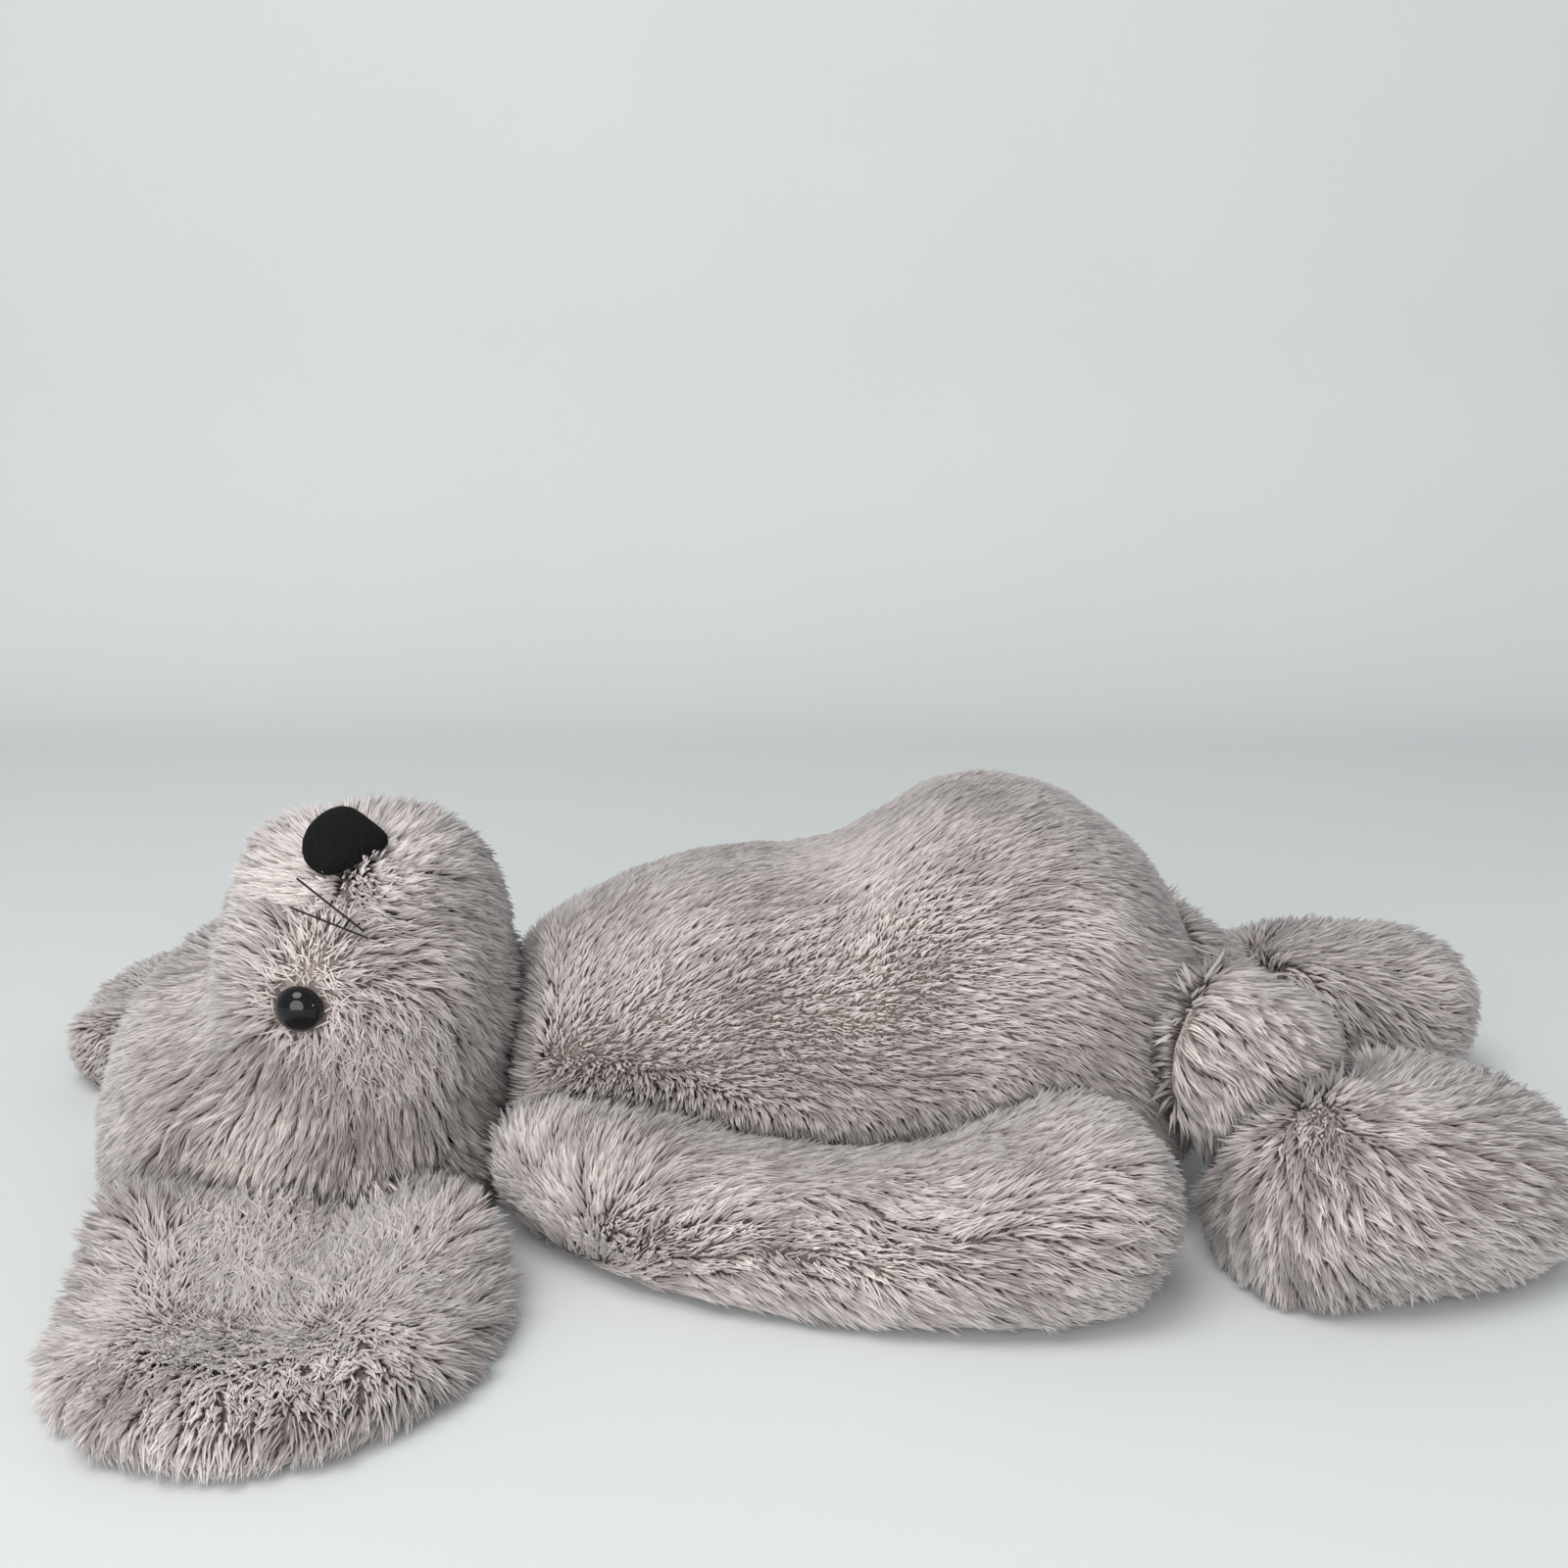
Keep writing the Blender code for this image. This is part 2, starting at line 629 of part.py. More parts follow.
# Ears.
def ear_height(x, y, upper):
    """Height of an ear's surface over its middle, from a place on a unit disc.

    The gathered edge is at x = -1, and the side that is turned to the crown of the head is at y = -1."""
    rim = math.sqrt(max(0.0, 1.0 - math.hypot(x, y) ** 4)) * EAR_THICKNESS / 2.0
    if not upper:
        return -rim
    lining = EAR_DISH * bell(math.hypot(x - 0.12, y), 0.52)
    outer = EAR_OUTER_PLEAT * bell(x + 0.45, 0.40) * bell(y + 0.90, 0.34)
    inner = EAR_INNER_PLEAT * bell(x + 0.58, 0.40) * bell(y - 0.64, 0.30)
    fold = EAR_DISH * bell(x + 0.55, 0.34) * bell(y, 0.20)
    return rim - lining + outer + inner - fold


def build_ear(name, side, root, facing, curl, parts):
    """A floppy round ear lying on the floor.

    root and facing are where it leaves the head and where its tip points, in degrees in the floor plane.
    curl lifts the tip."""
    centre = ear_centre(root, facing)
    tip = Vector((math.cos(math.radians(facing)), math.sin(math.radians(facing)), 0.0))
    chinwards = Vector((-tip.y, tip.x, 0.0)) * -side
    bm = quad_sphere(7)
    for vert in bm.verts:
        x, y, z = vert.co
        gathered = smooth_step(-0.35, -1.0, x)
        lift = EAR_THICKNESS / 2.0 - FLOOR_PRESS + EAR_PLEAT_LIFT * gathered + curl * smooth_step(0.1, 1.0, x)
        aside = y * (EAR_WIDTH - EAR_GATHER * gathered) / 2.0
        aside -= EAR_FLARE * smooth_step(0.1, -0.45, x) * smooth_step(0.0, -1.0, y)
        vert.co = centre + tip * (x * EAR_LENGTH / 2.0) + chinwards * aside
        vert.co.z += lift + ear_height(x, y, z > 0.0)
    ear = new_object(name, bm, parts, plush())
    pad_to_floor(ear)
    return ear


def ear_centre(root, facing):
    """Middle of an ear that is gathered to the side of the skull at root and points along facing."""
    out = Vector((math.cos(math.radians(root)), math.sin(math.radians(root)), 0.0))
    tip = Vector((math.cos(math.radians(facing)), math.sin(math.radians(facing)), 0.0))
    skull = 1.0 / math.hypot(out.x / (SKULL_LENGTH / 2.0), out.y / (SKULL_WIDTH / 2.0))
    below_head = Vector((HEAD_CENTRE.x, HEAD_CENTRE.y, 0.0))
    return below_head + out * skull + tip * (EAR_LENGTH / 2.0 - EAR_INTO_HEAD)


# Limbs.
# Sections of an arm: share of the length, axis out from the torso side, half width, full height.
ARM_SECTIONS = (
    (0.00, -0.30, 0.022, 0.040),
    (0.14, 0.45, 0.029, 0.041),
    (0.32, 0.92, 0.031, 0.036),
    (0.50, 1.05, 0.0315, 0.034),
    (0.68, 1.08, 0.032, 0.040),
    (0.84, 0.95, 0.034, 0.050),
    (1.00, 0.80, 0.035, 0.056),
)
ARM_START_SHARE = 0.045    # of the torso, where the shoulder is sewn in


def build_arm(name, side, parts):
    start_x = TORSO_NECK_X + TORSO_LENGTH * ARM_START_SHARE

    def centre_at(share):
        out, _, height = along_sections(ARM_SECTIONS, share)
        torso_share = ARM_START_SHARE + share * ARM_LENGTH / TORSO_LENGTH
        half_width = torso_size(min(1.0, max(0.0, torso_share)))[0]
        hug = ARM_HUG_SHOULDER + (ARM_HUG_PAW - ARM_HUG_SHOULDER) * share
        y = side * (half_width * hug + ARM_OUT * out)
        return Vector((start_x + ARM_LENGTH * share, y, (height + FLOOR_PRESS) / 2.0 - FLOOR_PRESS))

    def size_at(share):
        _, half_width, height = along_sections(ARM_SECTIONS, share)
        size = end_rounding(share, ARM_ROUND_SHOULDER, ARM_ROUND_PAW)
        return half_width * size, (height + FLOOR_PRESS) / 2.0 * size

    arm = lofted_bag(name, centre_at, size_at, parts, rings=16, sides=18, squareness=ARM_SQUARENESS)
    pad_to_floor(arm)
    return arm


LEG_START_SHARE = 0.845    # of the torso's length, where the leg is sewn in
LEG_SEAM_OUT = 0.60        # of the torso's half width there
LEG_SEAM_HEIGHT = 0.56     # of the torso's height there


def leg_start(side):
    x, half_width = torso_side(LEG_START_SHARE)
    height = torso_size(LEG_START_SHARE)[1]
    return Vector((x, side * half_width * LEG_SEAM_OUT, height * LEG_SEAM_HEIGHT))


def leg_direction(side, spread, fall):
    """Unit direction of a leg: spread to its side and falling to the floor, in degrees."""
    level = math.cos(math.radians(fall))
    return Vector((math.cos(math.radians(spread)) * level, side * math.sin(math.radians(spread)) * level,
                   -math.sin(math.radians(fall))))


def ankle_of(side, spread, fall):
    return leg_start(side) + leg_direction(side, spread, fall) * LEG_LENGTH


def build_leg(name, side, spread, fall, parts):
    start, direction = leg_start(side), leg_direction(side, spread, fall)

    def centre_at(share):
        return start + direction * (LEG_LENGTH * share)

    def size_at(share):
        radius = LEG_DIAMETER / 2.0 * end_rounding(share, LEG_ROUND_ENDS, LEG_ROUND_ENDS)
        return radius, radius

    leg = lofted_bag(name, centre_at, size_at, parts, rings=11, sides=18, squareness=LEG_SQUARENESS,
                     level=False)
    pad_to_floor(leg)
    return leg


# Sections of a foot: share of the length, half width and full height as shares of the widest.
FOOT_SECTIONS = (
    (0.00, 0.72, 0.86),
    (0.22, 0.94, 0.98),
    (0.42, 1.00, 1.00),
    (0.62, 0.92, 0.95),
    (0.82, 0.76, 0.84),
    (1.00, 0.60, 0.70),
)


def build_foot(name, side, ankle, turn, heel_back, height, rise, parts):
    """turn is the direction of the toes in the floor plane, away from +X to the foot's own side, in degrees.

    heel_back is how much of the foot lies behind the ankle, which differs as each foot has rolled.
    So do its height over the floor and the rise of its top from heel to toes, a share of that height."""
    toes = Vector((math.cos(math.radians(turn)), side * math.sin(math.radians(turn)), 0.0))
    outward = Vector((-toes.y, toes.x, 0.0)) * side
    heel = ankle - toes * heel_back + outward * FOOT_OUT

    def centre_at(share):
        high = height * along_sections(FOOT_SECTIONS, share)[1] * (1.0 + rise * (share - 0.5))
        centre = heel + toes * (FOOT_LENGTH * share)
        return Vector((centre.x, centre.y, (high + FLOOR_PRESS) / 2.0 - FLOOR_PRESS))

    def size_at(share):
        wide, high = along_sections(FOOT_SECTIONS, share)
        high *= height * (1.0 + rise * (share - 0.5))
        size = end_rounding(share, FOOT_ROUND_HEEL, FOOT_ROUND_TOES)
        return FOOT_WIDTH / 2.0 * wide * size, (high + FLOOR_PRESS) / 2.0 * size

    foot = lofted_bag(name, centre_at, size_at, parts, rings=13, sides=20, squareness=FOOT_SQUARENESS)
    pad_to_floor(foot)
    return foot


def main():
    parts, cutters = start_scene()
    head = build_head(parts)
    torso = build_torso(parts)
    seat(torso, [head], cutters)

    right_arm = build_arm("right_arm", RIGHT, parts)
    left_arm = build_arm("left_arm", LEFT, parts)
    for arm in (right_arm, left_arm):
        seat(arm, [head, torso], cutters)

    right_leg = build_leg("right_leg", RIGHT, RIGHT_LEG_SPREAD, RIGHT_LEG_FALL, parts)
    left_leg = build_leg("left_leg", LEFT, LEFT_LEG_SPREAD, LEFT_LEG_FALL, parts)
    seat(right_leg, [torso, right_arm], cutters)
    seat(left_leg, [torso, left_arm], cutters)

    right_ankle = ankle_of(RIGHT, RIGHT_LEG_SPREAD, RIGHT_LEG_FALL)
    left_ankle = ankle_of(LEFT, LEFT_LEG_SPREAD, LEFT_LEG_FALL)
    right_foot = build_foot("right_foot", RIGHT, right_ankle, RIGHT_TOES_TURN, RIGHT_HEEL_BACK,
                            RIGHT_FOOT_HEIGHT, RIGHT_FOOT_RISE, parts)
    left_foot = build_foot("left_foot", LEFT, left_ankle, LEFT_TOES_TURN, LEFT_HEEL_BACK,
                           LEFT_FOOT_HEIGHT, LEFT_FOOT_RISE, parts)
    seat(right_foot, [torso, right_arm, right_leg], cutters)
    seat(left_foot, [torso, left_arm, left_leg], cutters)

    right_ear = build_ear("right_ear", RIGHT, RIGHT_EAR_ROOT, RIGHT_EAR_FACING, 0.0, parts)
    left_ear = build_ear("left_ear", LEFT, LEFT_EAR_ROOT, LEFT_EAR_FACING, LEFT_EAR_CURL, parts)
    seat(right_ear, [head, right_arm], cutters)
    seat(left_ear, [head], cutters)

    nose = build_nose(parts)
    seat(nose, [head], cutters)
    for side, word in SIDES.items():
        cut(head, eye_pocket("pocket_" + word, side, cutters))
        build_eye(word + "_eye", side, parts)
        build_washer(word + "_eye_washer", side, parts)
    settle(head)
    plush_surface = surface_of(head)
    for side, word in SIDES.items():
        aims = STANDING_WHISKERS if side == RIGHT else LYING_WHISKERS
        for place, root in WHISKER_ROOTS.items():
            build_whisker(word + "_whisker_" + place, side, root, aims[place], plush_surface, parts)


main()
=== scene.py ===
"""Dresses the stuffed mouse: padded cloth under a combed pile, eyes, nose, whiskers and a plain studio."""
import logging
import math
from dataclasses import dataclass, field
from enum import Enum
from typing import Any

import bmesh
import bpy
import numpy as np
from mathutils import Matrix, Vector, noise
from mathutils.bvhtree import BVHTree
from mathutils.kdtree import KDTree


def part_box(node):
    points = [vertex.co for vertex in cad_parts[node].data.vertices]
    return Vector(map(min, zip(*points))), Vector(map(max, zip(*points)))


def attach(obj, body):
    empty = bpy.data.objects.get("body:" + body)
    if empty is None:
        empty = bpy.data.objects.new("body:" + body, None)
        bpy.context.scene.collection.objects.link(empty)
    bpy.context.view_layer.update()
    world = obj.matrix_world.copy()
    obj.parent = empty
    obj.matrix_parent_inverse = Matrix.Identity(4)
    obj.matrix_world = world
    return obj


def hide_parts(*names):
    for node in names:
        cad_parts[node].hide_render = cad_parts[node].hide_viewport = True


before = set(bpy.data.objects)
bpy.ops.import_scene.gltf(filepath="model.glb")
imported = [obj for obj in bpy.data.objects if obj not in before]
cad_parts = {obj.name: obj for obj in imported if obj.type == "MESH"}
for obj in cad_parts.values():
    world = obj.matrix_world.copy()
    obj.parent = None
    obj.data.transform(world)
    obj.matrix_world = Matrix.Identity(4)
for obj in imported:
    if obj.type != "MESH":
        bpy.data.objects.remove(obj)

log = logging.getLogger("dressing")

Points = np.ndarray
PILE_MAP = "OFBake"        # a lock's place on this map is its tone and the way from root to tip
FLOOR_SKIM = 0.0004        # the pile stays this far over the floor


class Side(Enum):
    """The toy's own sides, by their direction along Y."""

    RIGHT = -1.0
    LEFT = 1.0

    @property
    def word(self) -> str:
        """The side's name in the names of the pieces."""
        return self.name.lower()


# Small numeric helpers.
def smooth_step(low: float, high: float, value: Points) -> Points:
    """Rises smoothly from 0 at low to 1 at high.

    Args:
        low: where the rise starts.
        high: where it ends, which may be under low.
        value: the numbers to read.

    Returns:
        The shares, from 0 to 1.
    """
    share = np.clip((np.asarray(value) - low) / (high - low), 0.0, 1.0)
    return share * share * (3.0 - 2.0 * share)


def unit(vectors: Points) -> Points:
    """The vectors at length 1."""
    return vectors / np.maximum(np.linalg.norm(vectors, axis=-1, keepdims=True), 1e-9)


def along_surface(vectors: Points, out: Points) -> Points:
    """The part of each vector that runs along a surface, at length 1.

    Args:
        vectors: one direction for each place.
        out: the surface's normal there.

    Returns:
        Unit directions.
    """
    return unit(vectors - out * (vectors * out).sum(axis=1, keepdims=True))


def drift(places: Points, size: float, seed: int) -> Points:
    """A smooth random vector at each place, the same in every run.

    Args:
        places: where.
        size: the width of a swirl, in metres.
        seed: picks one field of swirls.

    Returns:
        Vectors of about unit length.
    """
    # Without a seed the swirls would change with the time of day.
    noise.seed_set(seed + 1)
    shift = Vector((17.3, 5.1, 9.7)) * (seed + 1)
    return np.array([noise.noise_vector(Vector(place) / size + shift) for place in places]) * 2.0


# Meshes.
def mesh_array(items: Any, name: str, width: int) -> Points:
    """Reads one property of a mesh's items.

    Args:
        items: the vertices, or an attribute's data.
        name: the property.
        width: numbers in each.

    Returns:
        An array of shape (items, width), or (items,) where width is 1.
    """
    found = np.empty(len(items) * width, np.float32)
    items.foreach_get(name, found)
    return found.astype(float).reshape(-1, width) if width > 1 else found.astype(float)


def store(mesh: bpy.types.Mesh, name: str, values: Points) -> None:
    """Writes an attribute on a mesh's vertices.

    Args:
        mesh: the mesh.
        name: the attribute's name.
        values: a number or a vector for each vertex.
    """
    vector = values.ndim == 2
    made = mesh.attributes.new(name, "FLOAT_VECTOR" if vector else "FLOAT", "POINT")
    made.data.foreach_set("vector" if vector else "value", values.astype(np.float32).ravel())


def link(name: str, mesh: bpy.types.Mesh) -> bpy.types.Object:
    """Puts a mesh in the scene as an object at the origin."""
    made = bpy.data.objects.new(name, mesh)
    bpy.context.scene.collection.objects.link(made)
    return made


def from_bmesh(name: str, bm: bmesh.types.BMesh) -> bpy.types.Object:
    """Turns a bmesh into a smooth object at the origin, and frees it.

    Args:
        name: the object's name.
        bm: its shape, in place.

    Returns:
        The object.
    """
    mesh = bpy.data.meshes.new(name)
    bm.to_mesh(mesh)
    bm.free()
    mesh.shade_smooth()
    return link(name, mesh)


def baked(obj: bpy.types.Object, name: str) -> bpy.types.Mesh:
    """The mesh that an object's modifiers make, as a mesh of its own."""
    bpy.context.view_layer.update()
    graph = bpy.context.evaluated_depsgraph_get()
    made = bpy.data.meshes.new_from_object(obj.evaluated_get(graph))
    made.name = name
    return made


def apply_all(obj: bpy.types.Object) -> None:
    """Applies every modifier of an object."""
    mesh = baked(obj, obj.data.name)
    obj.modifiers.clear()
    obj.data = mesh


def solid_copy(*nodes: str) -> bmesh.types.BMesh:
    """The merged shape of one CAD node or of several."""
    bm = bmesh.new()
    for node in nodes:
        bm.from_mesh(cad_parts[node].data)
    bmesh.ops.remove_doubles(bm, verts=bm.verts, dist=1e-5)
    return bm


def tree_of(*nodes: str) -> BVHTree:
    """The surface of one CAD node or of several, to find the nearest place on it."""
    bm = solid_copy(*nodes)
    tree = BVHTree.FromBMesh(bm)
    bm.free()
    return tree


def middle_of(node: str) -> Points:
    """The middle of a CAD node's box."""
    low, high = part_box(node)
    return np.array((low + high) / 2.0)


def gap_to(place: Points, spot: Points) -> Points:
    """How far each place is from one spot."""
    return np.linalg.norm(place - spot, axis=1)


def coat(made: bpy.types.Object, finish: bpy.types.Material) -> None:
    """Gives a piece one material in place of any that it has."""
    made.data.materials.clear()
    made.data.materials.append(finish)


# Node trees.
class Sheet:
    """A node tree that is written as calls and expressions."""

    def __init__(self, tree: bpy.types.NodeTree) -> None:
        """Starts on a tree, with its nodes cleared."""
        self.tree = tree
        tree.nodes.clear()

    def add(self, kind: str, settings: dict[str, Any] | None = None,
            sockets: dict[str | int, Any] | None = None) -> bpy.types.Node:
        """Adds one node.

        Args:
            kind: the node's type.
            settings: its properties, set first. "stops" fills a colour ramp.
            sockets: a value, a socket or a Signal for each input.

        Returns:
            The node.
        """
        node = self.tree.nodes.new(kind)
        for name, value in (settings or {}).items():
            if name == "stops":
                self.fill_ramp(node.color_ramp, value)
            else:
                setattr(node, name, value)
        for name, value in (sockets or {}).items():
            self.plug(node.inputs[name], value)
        return node

    @staticmethod
    def fill_ramp(ramp: bpy.types.ColorRamp, stops: list[tuple[float, tuple[float, float, float]]]) -> None:
        """Sets a ramp's stops, each a place and a colour."""
        while len(ramp.elements) < len(stops):
            ramp.elements.new(1.0)
        for element, (place, colour) in zip(ramp.elements, stops):
            element.position = place
            element.color = (*colour, 1.0)

    def plug(self, socket: bpy.types.NodeSocket, value: Any) -> None:
        """Gives an input its value, or links it."""
        if isinstance(value, Signal):
            value = value.socket
        if isinstance(value, bpy.types.NodeSocket):
            self.tree.links.new(value, socket)
        else:
            socket.default_value = value

    def signal(self, kind: str, settings: dict[str, Any] | None = None,
               sockets: dict[str | int, Any] | None = None, output: str | int = 0) -> "Signal":
        """Adds a node and returns one of its outputs as a Signal."""
        return Signal(self, self.add(kind, settings, sockets).outputs[output])


class Signal:
    """A shader value that takes part in Python's arithmetic."""

    def __init__(self, sheet: Sheet, socket: bpy.types.NodeSocket) -> None:
        """Wraps a node's output."""
        self.sheet = sheet
        self.socket = socket

    def maths(self, operation: str, first: Any, second: Any) -> "Signal":
        """Adds a Math node on two values."""
        return self.sheet.signal("ShaderNodeMath", {"operation": operation}, {0: first, 1: second})

    def __add__(self, other: Any) -> "Signal":
        """self + other"""
        return self.maths("ADD", self, other)

    def __radd__(self, other: Any) -> "Signal":
        """other + self"""
        return self.maths("ADD", other, self)

    def __sub__(self, other: Any) -> "Signal":
        """self - other"""
        return self.maths("SUBTRACT", self, other)

    def __rsub__(self, other: Any) -> "Signal":
        """other - self"""
        return self.maths("SUBTRACT", other, self)

    def __mul__(self, other: Any) -> "Signal":
        """self * other"""
        return self.maths("MULTIPLY", self, other)

    def __rmul__(self, other: Any) -> "Signal":
        """other * self"""
        return self.maths("MULTIPLY", other, self)

    def __pow__(self, other: Any) -> "Signal":
        """self ** other"""
        return self.maths("POWER", self, other)


# Finishes.
Colour = tuple[float, float, float]


def new_material(name: str) -> tuple[bpy.types.Material, Sheet, bpy.types.Node]:
    """A material with an empty tree, a Principled shader and its output.

    Args:
        name: the material's name.

    Returns:
        The material, its sheet and the shader.
    """
    made = bpy.data.materials.new(name)
    made.use_nodes = True
    sheet = Sheet(made.node_tree)
    shader = sheet.add("ShaderNodeBsdfPrincipled")
    sheet.add("ShaderNodeOutputMaterial", sockets={"Surface": shader.outputs[0]})
    return made, sheet, shader


def mottle(sheet: Sheet, scale: float, detail: float = 2.0) -> Signal:
    """Noise on the object's own coordinates.

    Args:
        sheet: the material's sheet.
        scale: swirls in a metre.
        detail: how many finer layers it has.

    Returns:
        The noise, about 0.5.
    """
    coords = sheet.add("ShaderNodeTexCoord")
    return sheet.signal("ShaderNodeTexNoise", sockets={"Vector": coords.outputs["Object"], "Scale": scale,
                                                       "Detail": detail})


@dataclass(frozen=True)
class PileFinish:
    """The colours of one kind of pile, from the root to the tip of a lock; the darker root is painted shade
    deep in the pile.
    """

    name: str
    root: Colour = (0.27, 0.222, 0.208)
    belly: Colour = (0.54, 0.480, 0.460)
    tip: Colour = (0.80, 0.752, 0.732)
    shaded: float = 0.43       # a dark lock's colours, as a share of a pale one's
    sheen: float = 0.25

    def make(self) -> bpy.types.Material:
        """Builds the material.

        Returns:
            A material that reads a lock's tone and the way along it from the pile's own map.
        """
        made, sheet, shader = new_material(self.name)
        place = sheet.add("ShaderNodeUVMap", {"uv_map": PILE_MAP})
        split = sheet.add("ShaderNodeSeparateXYZ", sockets={0: place.outputs[0]})
        tone, along = Signal(sheet, split.outputs[0]), Signal(sheet, split.outputs[1])
        # Painted shade: the ramp darkens towards the root, for the shade deep in the pile.
        stops = [(0.0, self.root), (0.45, self.belly), (1.0, self.tip)]
        pale = sheet.signal("ShaderNodeValToRGB", {"stops": stops}, {0: along})
        dark = sheet.add("ShaderNodeMix", {"data_type": "RGBA", "blend_type": "MULTIPLY"},
                         {0: 1.0, 6: pale, 7: (self.shaded, self.shaded * 0.97, self.shaded * 0.98, 1.0)})
        colour = sheet.add("ShaderNodeMix", {"data_type": "RGBA"}, {0: tone, 6: dark.outputs[2], 7: pale})
        sheet.plug(shader.inputs["Base Color"], colour.outputs[2])
        shader.inputs["Roughness"].default_value = 0.85
        shader.inputs["Sheen Weight"].default_value = self.sheen
        shader.inputs["Sheen Roughness"].default_value = 0.5
        shader.inputs["Specular IOR Level"].default_value = 0.2
        return made


@dataclass(frozen=True)
class ClothFinish:
    """The knitted backing between the roots of the pile."""

    name: str = "backing_cloth"
    thread: Colour = (0.40, 0.335, 0.310)
    gap: Colour = (0.24, 0.195, 0.180)
    stitch: float = 0.0016     # width of a knitted stitch

    def make(self) -> bpy.types.Material:
        """Builds the material: a fine knit that follows the object's own coordinates."""
        made, sheet, shader = new_material(self.name)
        coords = sheet.add("ShaderNodeTexCoord")
        knit = sheet.signal("ShaderNodeTexVoronoi", sockets={"Vector": coords.outputs["Object"],
                                                             "Scale": 1.0 / self.stitch})
        stops = [(0.0, self.thread), (0.75, self.thread), (1.0, self.gap)]
        ramp = sheet.signal("ShaderNodeValToRGB", {"stops": stops}, {0: knit})
        bump = sheet.signal("ShaderNodeBump",
                            sockets={"Height": 1.0 - knit, "Strength": 0.5, "Distance": 0.0004})
        sheet.plug(shader.inputs["Base Color"], ramp)
        sheet.plug(shader.inputs["Normal"], bump)
        shader.inputs["Roughness"].default_value = 0.95
        return made


@dataclass(frozen=True)
class VelourFinish:
    """Short black velour."""

    name: str = "nose_velour"
    nap: Colour = (0.0025, 0.0025, 0.003)
    # painted highlight: a few fibres coloured paler, for the sheen of the nap
    glint: Colour = (0.010, 0.0095, 0.010)
    fibres: float = 1900.0     # in a metre

    def make(self) -> bpy.types.Material:
        """Builds the material: a fine nap with painted glints on a few fibres."""
        made, sheet, shader = new_material(self.name)
        nap = mottle(sheet, self.fibres, 3.0)
        stops = [(0.45, self.nap), (0.75, self.glint)]
        ramp = sheet.signal("ShaderNodeValToRGB", {"stops": stops}, {0: nap})
        bump = sheet.signal("ShaderNodeBump", sockets={"Height": nap, "Strength": 0.7, "Distance": 0.0004})
        sheet.plug(shader.inputs["Base Color"], ramp)
        sheet.plug(shader.inputs["Normal"], bump)
        shader.inputs["Roughness"].default_value = 0.9
        shader.inputs["Specular IOR Level"].default_value = 0.15
        return made


@dataclass(frozen=True)
class GlossFinish:
    """Polished plastic with the faint haze of handling."""

    name: str
    colour: Colour = (0.004, 0.004, 0.005)
    polish: float = 0.05
    haze: float = 0.10
    shine: float = 0.35
    marks: float = 420.0       # in a metre

    def make(self) -> bpy.types.Material:
        """Builds the material: its roughness varies a little over the dome."""
        made, sheet, shader = new_material(self.name)
        marks = mottle(sheet, self.marks, 4.0)
        shader.inputs["Base Color"].default_value = (*self.colour, 1.0)
        sheet.plug(shader.inputs["Roughness"], marks * (self.haze - self.polish) + self.polish)
        shader.inputs["Specular IOR Level"].default_value = self.shine
        return made


@dataclass(frozen=True)
class ThreadFinish:
    """Stiff dark thread."""

    name: str = "whisker_thread"
    colour: Colour = (0.010, 0.009, 0.009)
    worn: Colour = (0.045, 0.040, 0.038)
    spots: float = 650.0       # in a metre

    def make(self) -> bpy.types.Material:
        """Builds the material: dark, with paler spots along the thread."""
        made, sheet, shader = new_material(self.name)
        stops = [(0.50, self.colour), (0.80, self.worn)]
        ramp = sheet.signal("ShaderNodeValToRGB", {"stops": stops}, {0: mottle(sheet, self.spots)})
        sheet.plug(shader.inputs["Base Color"], ramp)
        shader.inputs["Roughness"].default_value = 0.4
        return made


@dataclass(frozen=True)
class StageFinish:
    """A plain matt surface behind or under the toy."""

    name: str
    colour: Colour
    faint: float = 0.985       # the darker places, as a share of the colour
    clouds: float = 6.0        # in a metre

    def make(self) -> bpy.types.Material:
        """Builds the material, with a very faint mottle."""
        made, sheet, shader = new_material(self.name)
        stops = [(0.3, tuple(part * self.faint for part in self.colour)), (0.7, self.colour)]
        ramp = sheet.signal("ShaderNodeValToRGB", {"stops": stops}, {0: mottle(sheet, self.clouds)})
        sheet.plug(shader.inputs["Base Color"], ramp)
        shader.inputs["Roughness"].default_value = 0.9
        shader.inputs["Specular IOR Level"].default_value = 0.1
        return made


# Pile: one lock, where the locks grow, and how they lie.
@dataclass
class Lock:
    """One lock of pile, a closed leaf that bows away from the cloth and ends in a point.

    It runs from its root at the origin to its tip at a height of 1, and bows towards +X."""

    bow: float = 0.12
    widest: float = 0.42       # share of its length at which it is widest

    def make(self) -> bpy.types.Object:
        """Models the lock as a cone of three sides whose base is drawn out to a point."""
        bm = bmesh.new()
        bmesh.ops.create_cone(bm, cap_ends=True, segments=3, radius1=0.5, radius2=0.0, depth=1.0)
        bm.verts.ensure_lookup_table()
        foot = sorted((v for v in bm.verts if v.co.z < 0.0), key=lambda v: v.co.y)
        right, root, left = foot
        tip = next(v for v in bm.verts if v.co.z > 0.0)
        tip.co = (0.0, 0.0, 1.0)
        root.co = (0.0, 0.0, 0.0)
        right.co = (self.bow, -0.5, self.widest)
        left.co = (self.bow, 0.5, self.widest)
        bmesh.ops.recalc_face_normals(bm, faces=bm.faces)
        layer = bm.loops.layers.uv.new(PILE_MAP)
        for face in bm.faces:
            for loop in face.loops:
                # The place across the lock comes first and the way along it second.
                loop[layer].uv = (loop.vert.co.y, loop.vert.co.z)
        made = from_bmesh("lock", bm)
        made.hide_render = True
        return made


